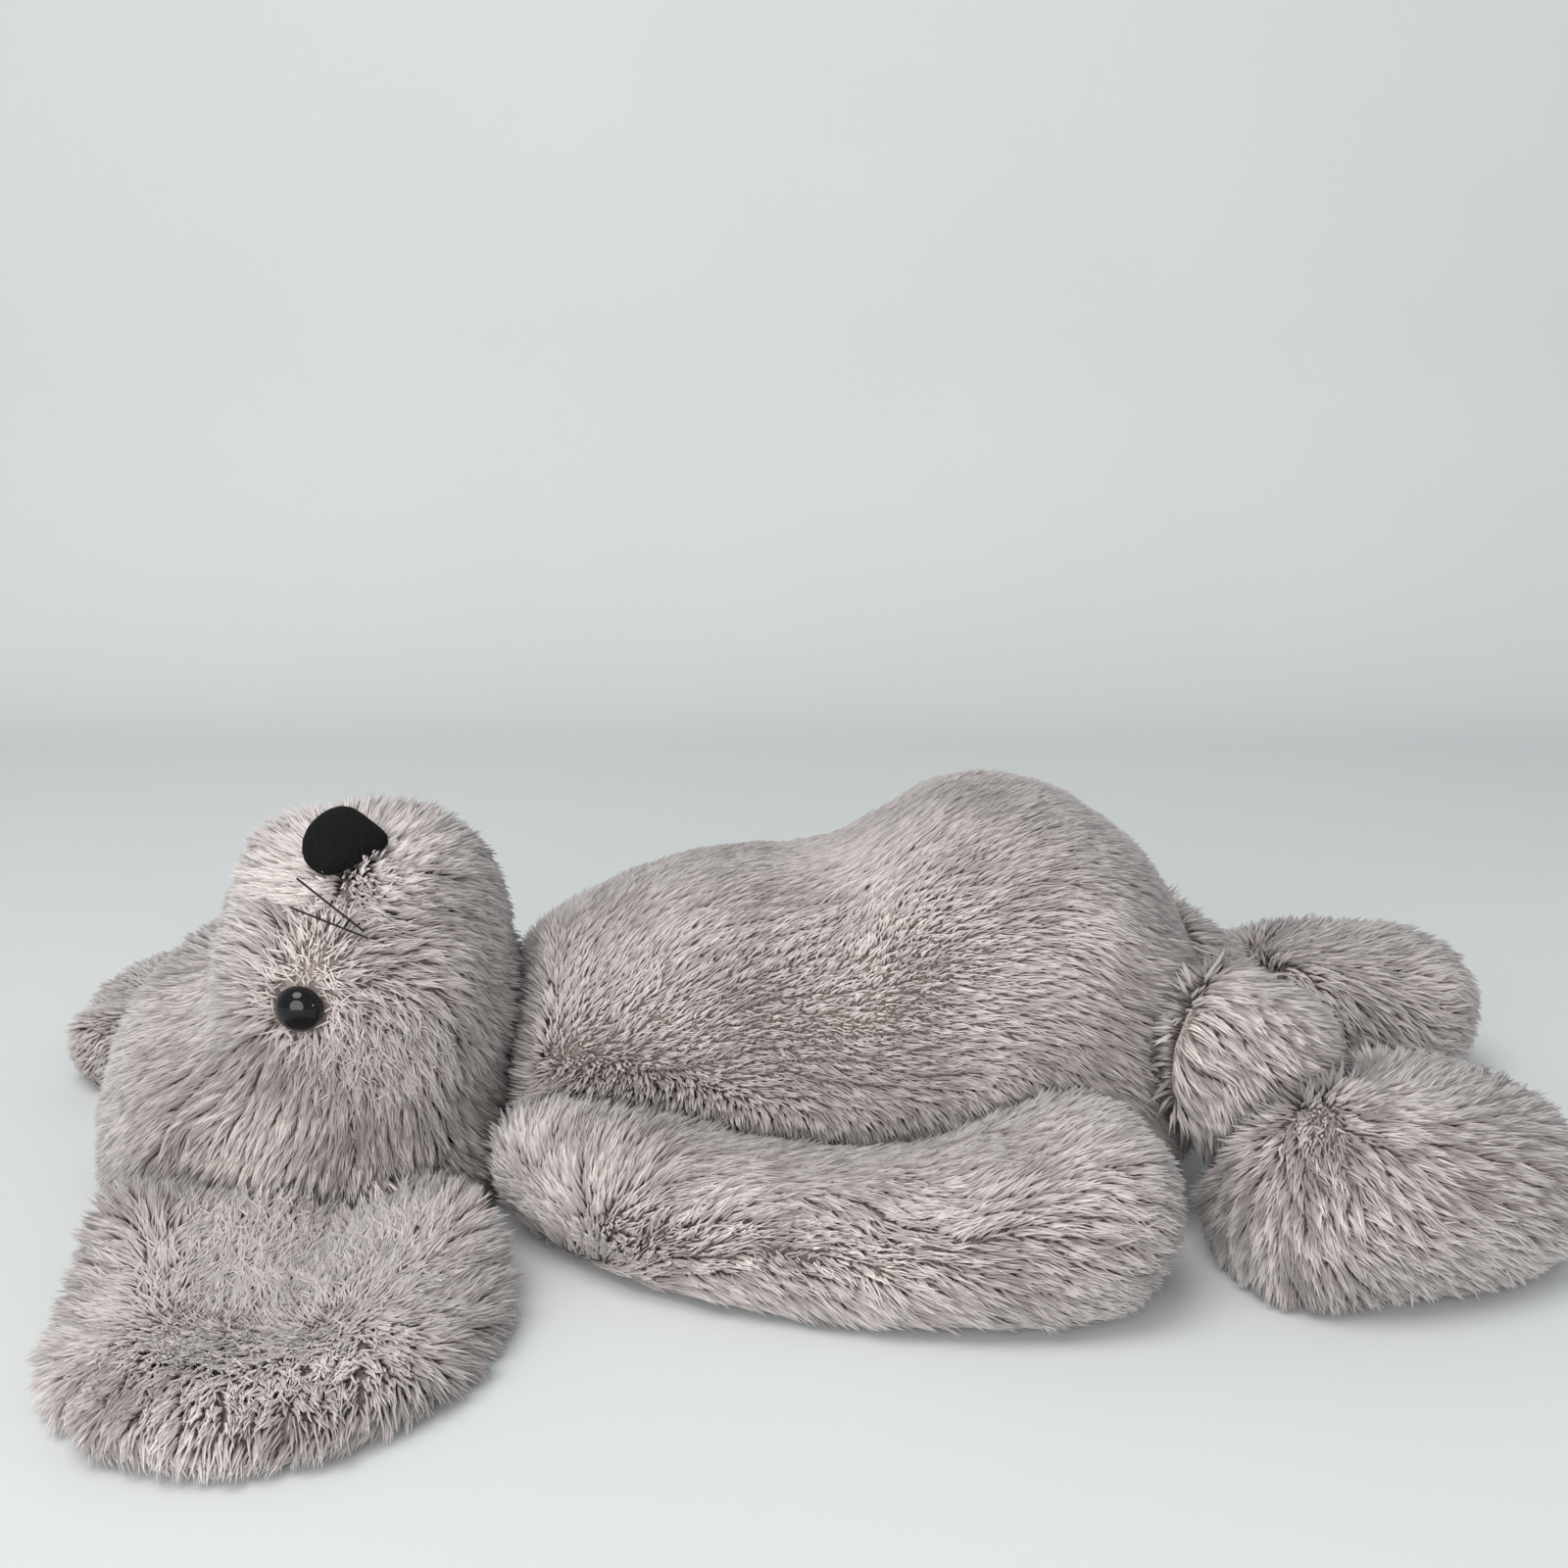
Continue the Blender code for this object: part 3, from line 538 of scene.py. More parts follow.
def new_group(name: str) -> tuple[Sheet, Signal, bpy.types.Node]:
    """A geometry node group that takes and gives one geometry.

    Args:
        name: the group's name.

    Returns:
        Its sheet, the incoming geometry and the output node.
    """
    group = bpy.data.node_groups.new(name, "GeometryNodeTree")
    for way in ("INPUT", "OUTPUT"):
        group.interface.new_socket("Geometry", in_out=way, socket_type="NodeSocketGeometry")
    sheet = Sheet(group)
    start = sheet.signal("NodeGroupInput")
    return sheet, start, sheet.add("NodeGroupOutput")


def run_group(obj: bpy.types.Object, sheet: Sheet, name: str) -> bpy.types.Mesh:
    """Runs a geometry node group on an object and returns the mesh that it makes."""
    modifier = obj.modifiers.new(name, "NODES")
    modifier.node_group = sheet.tree
    made = baked(obj, name)
    obj.modifiers.clear()
    return made


def named(sheet: Sheet, attribute: str, kind: str) -> bpy.types.NodeSocket:
    """Reads an attribute in a geometry node group."""
    return sheet.add("GeometryNodeInputNamedAttribute", {"data_type": kind}, {0: attribute}).outputs[0]


def root_places(cloth: bpy.types.Object, spacing: float, seed: int) -> bpy.types.Mesh:
    """Spreads the roots of the locks evenly over a cloth.

    Args:
        cloth: the cloth, with a thickness of growth for each vertex in "thick".
        spacing: least distance between two roots, in metres.
        seed: picks one way to spread them.

    Returns:
        A mesh of loose points that carry the cloth's attributes.
    """
    sheet, start, end = new_group("spread_roots")
    spread = sheet.add("GeometryNodeDistributePointsOnFaces", {"distribute_method": "POISSON"},
                       {"Mesh": start, "Distance Min": spacing, "Density Max": 1.6 / spacing ** 2,
                        "Density Factor": named(sheet, "thick", "FLOAT"), "Seed": seed})
    loose = sheet.add("GeometryNodePointsToVertices", sockets={0: spread.outputs["Points"]})
    sheet.plug(end.inputs[0], loose.outputs[0])
    return run_group(cloth, sheet, "roots")


def grow_locks(roots: bpy.types.Mesh, lock: bpy.types.Object, name: str) -> bpy.types.Mesh:
    """Sets a copy of the lock on every root.

    Args:
        roots: loose points with "grow", from root to tip, "out", the way it bows, and "wide".
        lock: the lock to copy.
        name: the name of the new mesh.

    Returns:
        One mesh with the copies in the order of the roots.
    """
    sheet, start, end = new_group("grow_locks")
    grow = named(sheet, "grow", "FLOAT_VECTOR")
    turn = sheet.add("FunctionNodeAxesToRotation", {"primary_axis": "Z", "secondary_axis": "X"},
                     {0: grow, 1: named(sheet, "out", "FLOAT_VECTOR")})
    length = sheet.add("ShaderNodeVectorMath", {"operation": "LENGTH"}, {0: grow})
    wide = named(sheet, "wide", "FLOAT")
    size = sheet.add("ShaderNodeCombineXYZ", sockets={0: length.outputs["Value"], 1: wide,
                                                      2: length.outputs["Value"]})
    copied = sheet.add("GeometryNodeObjectInfo", sockets={0: lock})
    placed = sheet.add("GeometryNodeInstanceOnPoints",
                       sockets={"Points": start, "Instance": copied.outputs["Geometry"],
                                "Rotation": turn.outputs[0], "Scale": size.outputs[0]})
    real = sheet.add("GeometryNodeRealizeInstances", sockets={0: placed.outputs[0]})
    sheet.plug(end.inputs[0], real.outputs[0])
    holder = link("holder", roots)
    made = run_group(holder, sheet, name)
    bpy.data.objects.remove(holder)
    return made


@dataclass
class Pile:
    """How one stretch of pile grows and lies."""

    length: float = 0.010
    width: float = 0.00055
    spacing: float = 0.00056
    clump: float = 0.0028      # distance between the middles of two clumps
    slim: float = 0.35         # a clump is this many times as wide as it is long
    cling: float = 0.45        # how far the tips of a clump are drawn together
    # painted shade: the locks between two clumps are coloured darker, for the shade between clumps
    fringe: float = 0.45       # how much darker the locks between two clumps are
    stray: float = 0.16        # how far single locks stray from their neighbours
    soft: float = 0.6          # how far a lock is shaded as the cloth under it

    def grow(self, name: str, cloth: bpy.types.Object, lock: bpy.types.Object, finish: bpy.types.Material,
             seed: int) -> bpy.types.Object:
        """Grows the pile on a cloth.

        Args:
            name: the name of the new piece.
            cloth: the cloth, with the attributes that Bag.comb stores.
            lock: the lock to copy.
            finish: the pile's material.
            seed: picks the random lengths, widths and tones.

        Returns:
            The pile as one object.
        """
        rng = np.random.default_rng(seed)
        roots = root_places(cloth, self.spacing, seed)
        count = len(roots.vertices)
        place = mesh_array(roots.vertices, "co", 3)
        out = unit(mesh_array(roots.attributes["outward"].data, "vector", 3))
        comb = unit(mesh_array(roots.attributes["comb"].data, "vector", 3))
        rise, reach, shade, wild, lie = (mesh_array(roots.attributes[name].data, "value", 1)
                                         for name in ("rise", "reach", "shade", "wild", "lie"))

        length = reach * self.length * rng.uniform(0.82, 1.12, count)
        lift = np.clip(rise * rng.uniform(0.80, 1.08, count), 0.1 * length, 0.96 * length)
        lean = np.sqrt(length ** 2 - lift ** 2) * lie
        comb = along_surface(comb + rng.normal(0.0, 1.0, (count, 3)) * (self.stray + wild[:, None]), out)
        grow = out * lift[:, None] + comb * lean[:, None]
        grow, border = self.clumped(place, grow, comb, rng)
        grow -= out * (0.22 * border * lift)[:, None]
        tip = place + grow
        tip[:, 2] = np.maximum(tip[:, 2], FLOOR_SKIM + rng.uniform(0.0, 0.0012, count))
        grow = tip - place

        store(roots, "grow", grow)
        store(roots, "out", out)
        store(roots, "wide", self.width * rng.uniform(0.75, 1.3, count))
        mesh = grow_locks(roots, lock, name)
        # Painted light and shade: a clump's middle is coloured paler and the locks between clumps darker,
        # for the shade between clumps.
        tone = shade + rng.normal(0.0, 0.16, count) + self.fringe * (0.35 - border)
        self.map_tones(mesh, np.clip(tone, 0.0, 1.0))
        self.keep_off_floor(mesh)
        self.soften(mesh, out)
        made = link(name, mesh)
        coat(made, finish)
        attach(made, "root")
        log.info("%s: %d locks, %d triangles", name, count, len(mesh.polygons))
        return made

    def clumped(self, place: Points, grow: Points, comb: Points,
                rng: np.random.Generator) -> tuple[Points, Points]:
        """Draws the locks together into slim clumps that lie along the flow.

        Args:
            place: the roots.
            grow: from each root to its tip.
            comb: the flow at each root.
            rng: the source of random numbers.

        Returns:
            The new way from each root to its tip, and how near each lock is to the edge of its clump.
        """
        share = min(1.0, (self.spacing / self.clump) ** 2)
        leaders = np.flatnonzero(rng.random(len(place)) < share)
        middle = place + grow * 0.5
        near = KDTree(len(leaders))
        for index in leaders:
            near.insert(middle[index], int(index))
        near.balance()
        found = np.array([[item[1] for item in near.find_n(spot, 8)] for spot in middle])
        away = middle[found] - middle[:, None, :]
        ahead = (away * comb[:, None, :]).sum(axis=2)
        aside = np.linalg.norm(away - ahead[:, :, None] * comb[:, None, :], axis=2)
        gap = np.hypot(aside, self.slim * ahead)
        order = np.argsort(gap, axis=1)
        rows = np.arange(len(place))
        leader = found[rows, order[:, 0]]
        nearest, next_one = gap[rows, order[:, 0]], gap[rows, order[:, 1]]
        border = smooth_step(0.35, 0.95, nearest / np.maximum(next_one, 1e-6))
        pull = place[leader] + grow[leader] - place - grow
        pull -= comb * (pull * comb).sum(axis=1, keepdims=True)
        cling = self.cling * rng.uniform(0.55, 1.15, len(place))[:, None]
        # A lock keeps its length as it is drawn aside.
        return unit(grow + pull * cling) * np.linalg.norm(grow, axis=1)[:, None], border

    @staticmethod
    def map_tones(mesh: bpy.types.Mesh, tone: Points) -> None:
        """Lays every lock on the pile's map by its tone.

        Args:
            mesh: the locks.
            tone: from 0, dark, to 1, pale, for each lock.
        """
        layer = mesh.uv_layers[PILE_MAP]
        places = mesh_array(layer.uv, "vector", 2).reshape(len(tone), -1, 2)
        edge, strip = 0.03, 0.02
        places[:, :, 0] = edge + (1.0 - 2.0 * edge) * tone[:, None] + strip * places[:, :, 0]
        layer.uv.foreach_set("vector", places.astype(np.float32).ravel())

    def soften(self, mesh: bpy.types.Mesh, out: Points) -> None:
        """Shades every lock partly as the cloth under it, as loose fibres are.

        Args:
            mesh: the locks.
            out: the cloth's normal under each.
        """
        own = mesh_array(mesh.vertex_normals, "vector", 3)
        under = np.repeat(out, len(own) // len(out), axis=0)
        facing = smooth_step(-0.6, 0.3, (own * under).sum(axis=1))[:, None] * self.soft
        mesh.shade_smooth()
        mesh.normals_split_custom_set_from_vertices(unit(own * (1.0 - facing) + under * facing))

    @staticmethod
    def keep_off_floor(mesh: bpy.types.Mesh) -> None:
        """Bends whatever dips under the floor back over it."""
        places = mesh_array(mesh.vertices, "co", 3)
        low = places[:, 2] < FLOOR_SKIM
        places[low, 2] = FLOOR_SKIM * np.exp(np.maximum(places[low, 2] / FLOOR_SKIM - 1.0, -3.0))
        mesh.vertices.foreach_set("co", places.astype(np.float32).ravel())
        mesh.update()


# Bags: padded cloth with pile on it.
BAG_NODES = ("head", "torso", "right_arm", "left_arm", "right_leg", "left_leg", "right_foot", "left_foot",
             "right_ear", "left_ear")
VOXEL = 0.004
SEAM_GAP = 0.001           # bags that come closer than this are sewn or pressed together
SEAM_FLUFF = 0.011         # the pile stands up over a seam within this distance of it
SEAM_PUFF = 0.0035         # and is longer by this much
CLOTH_OVER_FLOOR = 0.001
STUFFING_PRESSURE = 4.0
STUFFING_FRAMES = 20
STUFFING_SWELL = 0.002     # the cloth swells by no more than this
# What Bag.comb stores on a cloth.
COMBED = ("outward", "comb", "rise", "reach", "shade", "wild", "lie", "thick")


@dataclass
class Bag:
    """One sewn and stuffed bag: its padded cloth, and the pile that hides it."""

    node: str
    pile: Pile
    finish: bpy.types.Material
    inset: float = 0.006       # how deep the cloth lies under the tips of the pile
    fill: float = 0.6
    swirl: float = 1.0         # how far the pile wanders from its flow
    upright: float = 0.25      # how far the pile leans where its flow starts or ends
    tuck: float = 0.0035       # how far the cloth is drawn in at a seam
    seam_cover: float = 0.014  # how far into a seam the pile grows
    rounding: int = 3          # how many times the cloth is smoothed after it is drawn in
    seed: int = 1
    filled_with: tuple[str, ...] = ()
    cloth: bpy.types.Object = field(init=False, default=None)

    def flow(self, place: Points, out: Points) -> Points:
        """The way in which the pile is combed, at each place.

        Args:
            place: places on the cloth.
            out: the cloth's normal at each.

        Returns:
            One direction for each, which may have any length and needn't lie along the cloth.
        """
        raise NotImplementedError

    def reach(self, place: Points, out: Points) -> Points:
        """Length of the pile at each place, as a share of the usual one."""
        return np.ones(len(place))

    def wild(self, place: Points, out: Points) -> Points:
        """How far single locks stray at each place, besides the pile's own share."""
        return np.zeros(len(place))

    def bare(self, place: Points) -> Points:
        """How bare the cloth is at each place, from 0 to 1."""
        return np.zeros(len(place))

    def puff(self, place: Points, out: Points) -> Points:
        """How much higher the pile stands at each place than the bag's own outside, in metres."""
        return np.zeros(len(place))

    def scuff(self, place: Points) -> Points:
        """How far the pile is ruffled at each place, from 0 to 1."""
        return np.zeros(len(place))

    def paleness(self, place: Points) -> Points:
        """How much paler the pile is painted at each place than the bag's usual tone, as painted light that
        lifts shaded places.
        """
        return np.zeros(len(place))

    @staticmethod
    def inside_seam(skin: Points, gaps: Points) -> Points:
        """How far each place lies inside a seam with another bag, in metres.

        Args:
            skin: places on the outside of the bag.
            gaps: how far each is from the other bags.

        Returns:
            The distance to the nearest place that no other bag touches.
        """
        open_places = skin[gaps > SEAM_GAP]
        near = KDTree(len(open_places))
        for index, spot in enumerate(open_places):
            near.insert(spot, index)
        near.balance()
        return np.array([near.find(spot)[2] for spot in skin])

    def neighbours(self) -> BVHTree:
        """The surfaces of the other bags."""
        return tree_of(*[other for other in BAG_NODES if other != self.node])

    def cut_cloth(self) -> None:
        """Makes the cloth: the bag's shape, drawn in under the pile, before it is stuffed."""
        bm = solid_copy(self.node, *self.filled_with)
        self.cloth = from_bmesh(self.node + "_cloth", bm)
        remesh = self.cloth.modifiers.new("weave", "REMESH")
        remesh.mode = "VOXEL"
        remesh.voxel_size = VOXEL
        apply_all(self.cloth)
        bm = bmesh.new()
        bm.from_mesh(self.cloth.data)
        bmesh.ops.recalc_face_normals(bm, faces=bm.faces)
        others = self.neighbours()
        middle = Vector(middle_of(self.node))
        for vert in bm.verts:
            gap = others.find_nearest(vert.co)[3]
            tuck = self.tuck * float(smooth_step(0.008, 0.001, gap))
            vert.co += (middle - vert.co).normalized() * tuck
        steps = 3
        for _ in range(steps):
            bm.normal_update()
            for vert in bm.verts:
                pressed = vert.normal.z < -0.5 and vert.co.z < 0.006
                depth = 0.0012 if pressed else self.inset
                vert.co -= vert.normal * (depth / steps)
            self.smooth(bm)
        for _ in range(self.rounding):
            self.smooth(bm)
        bm.to_mesh(self.cloth.data)
        bm.free()
        self.cloth.data.shade_smooth()

    @staticmethod
    def smooth(bm: bmesh.types.BMesh) -> None:
        """Smooths a cloth once."""
        bmesh.ops.smooth_vert(bm, verts=bm.verts, factor=0.5, use_axis_x=True, use_axis_y=True,
                              use_axis_z=True)

    def stuff(self) -> None:
        """Starts the stuffing: a cloth that is blown up a little from inside."""
        cloth = self.cloth.modifiers.new("stuffing", "CLOTH")
        cloth.settings.quality = 4
        cloth.settings.mass = 0.3
        cloth.settings.use_pressure = True
        cloth.settings.uniform_pressure_force = STUFFING_PRESSURE
        cloth.settings.effector_weights.gravity = 0.0
        cloth.collision_settings.use_collision = False
        cloth.point_cache.frame_end = STUFFING_FRAMES

    def sew_up(self) -> None:
        """Ends the stuffing: the cloth keeps its new shape, as far as the pile leaves it room."""
        before = mesh_array(self.cloth.data.vertices, "co", 3)
        if self.cloth.modifiers:
            apply_all(self.cloth)
        mesh = self.cloth.data
        moved = mesh_array(mesh.vertices, "co", 3) - before
        swell = np.linalg.norm(moved, axis=1, keepdims=True)
        place = before + moved * np.minimum(1.0, STUFFING_SWELL / np.maximum(swell, 1e-9))
        place[:, 2] = np.maximum(place[:, 2], CLOTH_OVER_FLOOR)
        mesh.vertices.foreach_set("co", place.astype(np.float32).ravel())
        mesh.update()

    def comb(self, neighbours: BVHTree) -> None:
        """Stores on the cloth how the pile grows at each vertex."""
        mesh = self.cloth.data
        place = mesh_array(mesh.vertices, "co", 3)
        out = unit(mesh_array(mesh.vertices, "normal", 3))
        shell = tree_of(self.node)
        nearest = [shell.find_nearest(Vector(spot)) for spot in place]
        skin = np.array([found[0] for found in nearest])
        rise = np.array([found[3] for found in nearest])
        resting = smooth_step(0.004, 0.0012, skin[:, 2]) * smooth_step(-0.3, -0.7, out[:, 2])
        gaps = np.array([neighbours.find_nearest(Vector(spot))[3] for spot in skin])
        deep = self.inside_seam(skin, gaps) - self.seam_cover
        thick = smooth_step(0.003, 0.0, deep) * (1.0 - 0.8 * resting)
        by_seam = smooth_step(SEAM_FLUFF, 0.0, gaps)
        puff = self.puff(place, out) + SEAM_PUFF * by_seam
        thick *= 1.0 - self.bare(place)
        flow = unit(self.flow(place, out))
        level = np.linalg.norm(flow - out * (flow * out).sum(axis=1, keepdims=True), axis=1)
        comb = along_surface(flow, out)
        wander = 0.32 * drift(place, 0.030, self.seed) + 0.28 * drift(place, 0.009, self.seed + 20)
        comb += self.swirl * wander
        store(mesh, "outward", out)
        store(mesh, "comb", along_surface(comb, out))
        store(mesh, "rise", np.clip(rise, 0.0008, 0.010) + puff)
        store(mesh, "reach", (self.reach(place, out) + puff / self.pile.length) * (1.0 - 0.45 * resting))
        patches = 0.22 * drift(place, 0.022, self.seed + 40)[:, 0]
        # The tone: random patches, plus the painted light that lifts shaded places.
        store(mesh, "shade", 0.5 + patches + self.paleness(place))
        lie = self.upright + (1.0 - self.upright) * smooth_step(0.1, 0.85, level)
        scuff = self.scuff(place)
        store(mesh, "wild", self.wild(place, out) + 0.5 * (1.0 - lie) + 0.6 * scuff)
        store(mesh, "lie", lie * (1.0 - 0.65 * by_seam) * (1.0 - 0.5 * scuff))
        store(mesh, "thick", thick)

    def panels(self, place: Points) -> dict[str, Points]:
        """The pieces that the pile is made in, each with its share of every place."""
        return {self.node + "_pile": np.ones(len(place))}

    def dress(self, lock: bpy.types.Object, backing: bpy.types.Material) -> None:
        """Finishes the cloth and grows the pile."""
        self.comb(self.neighbours())
        mesh = self.cloth.data
        thick = mesh_array(mesh.attributes["thick"].data, "value", 1)
        for name, share in self.panels(mesh_array(mesh.vertices, "co", 3)).items():
            mesh.attributes["thick"].data.foreach_set("value", (thick * share).astype(np.float32))
            self.pile.grow(name, self.cloth, lock, self.finish, self.seed)
        for name in COMBED:
            mesh.attributes.remove(mesh.attributes[name])
        coat(self.cloth, backing)
        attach(self.cloth, "root")
        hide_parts(self.node)
        log.info("%s: %d triangles", self.cloth.name, sum(len(f.vertices) - 2 for f in mesh.polygons))


def stuff_bags(bags: list[Bag]) -> None:
    """Stuffs all the bags at once.

    Args:
        bags: bags whose cloth has been cut.
    """
    scene = bpy.context.scene
    for bag in bags:
        bag.stuff()
    for number in range(1, STUFFING_FRAMES + 1):
        scene.frame_set(number)
    for bag in bags:
        bag.sew_up()
    scene.frame_set(1)
    log.info("bags stuffed")


@dataclass
class Head(Bag):
    """The head, combed away from the ridge between the nose and each eye."""

    eye_clearing: float = 0.0066
    nose_clearing: float = 0.0034
    collar: float = 0.011      # round the eyes and the nose the pile stands up over this width
    nose_sway: float = 0.018   # how far each source of the flow holds sway
    hollow_sway: float = 0.013
    eye_sway: float = 0.009
    hollow: float = 0.34       # the pile parts in a hollow at this share of the way from an eye to the nose
    sunk: float = 0.003        # a hollow sends the pile out from this far under the bag's outside
    cheek: tuple[float, float, float] = (0.019, -0.012, 0.009)   # from an eye: to the neck, forwards, out
    brow: float = 0.0035       # the pile stands this much higher round the eyes
    tuft: float = 0.004        # and this much on top of the muzzle

    @staticmethod
    def eyes() -> dict[Side, Points]:
        """The middle of each eye."""
        return {side: middle_of(side.word + "_eye") for side in Side}

    def hollow_over(self, eye: Points) -> Points:
        """The place between an eye and the nose where the pile parts."""
        return eye + (middle_of("nose") - eye) * self.hollow

    def flow(self, place: Points, out: Points) -> Points:
        """Away from the nose, the eyes and the hollow over each eye."""
        sources = [(middle_of("nose"), self.nose_sway)]
        skin = tree_of(self.node)
        for eye in self.eyes().values():
            found = skin.find_nearest(Vector(self.hollow_over(eye)))
            sources.append((eye, self.eye_sway))
            sources.append((np.array(found[0] - found[1] * self.sunk), self.hollow_sway))
        way = np.zeros_like(place)
        for source, sway in sources:
            away = place - source
            gap = np.maximum(np.linalg.norm(away, axis=1, keepdims=True), 0.001)
            way += away / gap * (sway / gap) ** 3
        return way

    def scuff(self, place: Points) -> Points:
        """Ruffled on the cheek beside each eye, in the hollow over it and close round it."""
        eyes = self.eyes()
        across = unit(eyes[Side.RIGHT] - eyes[Side.LEFT])
        neck = np.array((1.0, 0.0, 0.0))
        forward = np.cross(across, neck)
        back, ahead, out = self.cheek
        worn = np.zeros(len(place))
        for side, eye in eyes.items():
            beside = eye + back * neck + ahead * forward - out * side.value * across
            worn += smooth_step(0.026, 0.008, gap_to(place, beside))
            worn += 0.7 * smooth_step(0.010, 0.003, gap_to(place, self.hollow_over(eye)))
            worn += 0.8 * smooth_step(0.015, 0.009, gap_to(place, eye))
        return np.minimum(worn, 1.0)

    def trims(self, place: Points) -> Points:
        """How far each place lies outside the clearings for the eyes and the nose, in metres."""
        gaps = [gap_to(place, eye) - self.eye_clearing for eye in self.eyes().values()]
        pad = tree_of("nose")
        gaps.append(np.array([pad.find_nearest(Vector(spot))[3] for spot in place]) - self.nose_clearing)
        return np.min(gaps, axis=0)

    def bare(self, place: Points) -> Points:
        """Bare under the eyes and the nose."""
        return smooth_step(0.0008, -0.0008, self.trims(place))

    def reach(self, place: Points, out: Points) -> Points:
        """Short round the eyes and the nose, so that it stands up there."""
        return 0.85 + 0.15 * smooth_step(0.0, self.collar, self.trims(place))

    def paleness(self, place: Points) -> Points:
        """Painted light: paler round the nose and where the pile is ruffled, lifting the shade between the
        upright locks there.
        """
        near = smooth_step(0.024, 0.012, gap_to(place, middle_of("nose")))
        return 0.5 * near + 0.4 * self.scuff(place)

    def puff(self, place: Points, out: Points) -> Points:
        """Fluffy on top of the muzzle, and high round the eyes."""
        top = smooth_step(0.3, 0.8, out[:, 2])
        puff = self.tuft * smooth_step(0.034, 0.018, gap_to(place, middle_of("nose"))) * top
        for eye in self.eyes().values():
            puff += self.brow * smooth_step(0.016, 0.009, gap_to(place, eye))
        return puff


@dataclass
class Torso(Bag):
    """The body, combed from the neck over the belly to the seat."""

    waist: float = 0.022       # X of the seam between the two panels of its pile

    def panels(self, place: Points) -> dict[str, Points]:
        """A chest panel and a seat panel."""
        seat = np.where(place[:, 0] > self.waist, 1.0, 0.0)
        return {"torso_pile_chest": 1.0 - seat, "torso_pile_seat": seat}

    def flow(self, place: Points, out: Points) -> Points:
        """Up over the chest, along the belly and down over the seat."""
        x = place[:, 0]
        climb = 1.0 - smooth_step(-0.075, 0.0, x)
        fall = smooth_step(0.055, 0.115, x)
        return np.stack([np.ones_like(x), np.zeros_like(x), 1.1 * climb - 1.6 * fall + 0.06], axis=1)


@dataclass
class Limb(Bag):
    """An arm or a leg, combed along its axis and away from it."""

    spread: float = 0.5
    axis: tuple[float, float, float] = (1.0, 0.0, 0.0)
    shoulder: float = 1.2      # how steeply the pile climbs at the neck end

    def flow(self, place: Points, out: Points) -> Points:
        """Along the limb, fanning out from its axis, and climbing at the shoulder."""
        axis = unit(np.array(self.axis))
        way = place - middle_of(self.node)
        aside = way - (way @ axis)[:, None] * axis
        climb = self.shoulder * smooth_step(0.02, -0.075, place[:, 0]) * smooth_step(-0.95, -0.6, out[:, 2])
        return axis + self.spread * aside / 0.02 + climb[:, None] * np.array([-0.55, 0.0, 1.0])


@dataclass
class Foot(Bag):
    """A foot, combed away from the ankle."""

    crown: tuple[float, float, float] = (-0.024, -0.008, 0.012)   # where it stands up, from the middle

    def flow(self, place: Points, out: Points) -> Points:
        """Away from the crown."""
        return place - middle_of(self.node) - np.array(self.crown)


@dataclass
class Ear(Bag):
    """An ear: a short pile on its lining panel, and long locks that fan out from the seam round it."""

    parting: float = 0.0       # half the length of the crease across the lining
    off_middle: tuple[float, float] = (0.0, 0.0)

    def disc(self, place: Points) -> Points:
        """Each place as a share of the way from the ear's middle to its rim, in the floor plane."""
        low, high = (np.array(corner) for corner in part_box(self.node))
        return ((place - (low + high) / 2.0) / ((high - low) / 2.0))[:, :2]

    def flow(self, place: Points, out: Points) -> Points:
        """From the crease outwards to the rim."""
        way = place - middle_of(self.node) - np.array((*self.off_middle, 0.0))
        way[:, 0] -= np.clip(way[:, 0], -self.parting, self.parting)
        way[:, 2] = -0.012
        return way

    def rim(self, place: Points) -> Points:
        """0 on the lining panel and 1 outside its seam."""
        return smooth_step(0.45, 0.90, np.linalg.norm(self.disc(place), axis=1))

    def reach(self, place: Points, out: Points) -> Points:
        """Longer outside the seam of the lining panel."""
        return 0.68 + 0.34 * self.rim(place)

    def paleness(self, place: Points) -> Points:
        """Paler on the lining panel: painted light that lifts the shade of its upright, upward-facing pile.
        """
        return 0.35 * (1.0 - self.rim(place))

    def wild(self, place: Points, out: Points) -> Points:
        """Unruly on the lining panel."""
        return 0.35 * (1.0 - self.rim(place)) * (out[:, 2] > 0.0)


# The face.
@dataclass
class Nose:
    """The padded velour nose."""

    node: str = "nose"

    def make(self, finish: bpy.types.Material) -> bpy.types.Object:
        """Rounds off the nose's shape and dresses it.

        Args:
            finish: the velour.

        Returns:
            The piece.
        """
        made = from_bmesh("nose_pad", solid_copy(self.node))
        remesh = made.modifiers.new("round", "REMESH")
        remesh.mode = "VOXEL"
        remesh.voxel_size = 0.0009
        smooth = made.modifiers.new("soften", "SMOOTH")
        smooth.factor, smooth.iterations = 0.5, 3
        apply_all(made)
        made.data.shade_smooth()
        coat(made, finish)
        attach(made, "root")
        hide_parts(self.node)
        log.info("%s: %d faces", made.name, len(made.data.polygons))
        return made


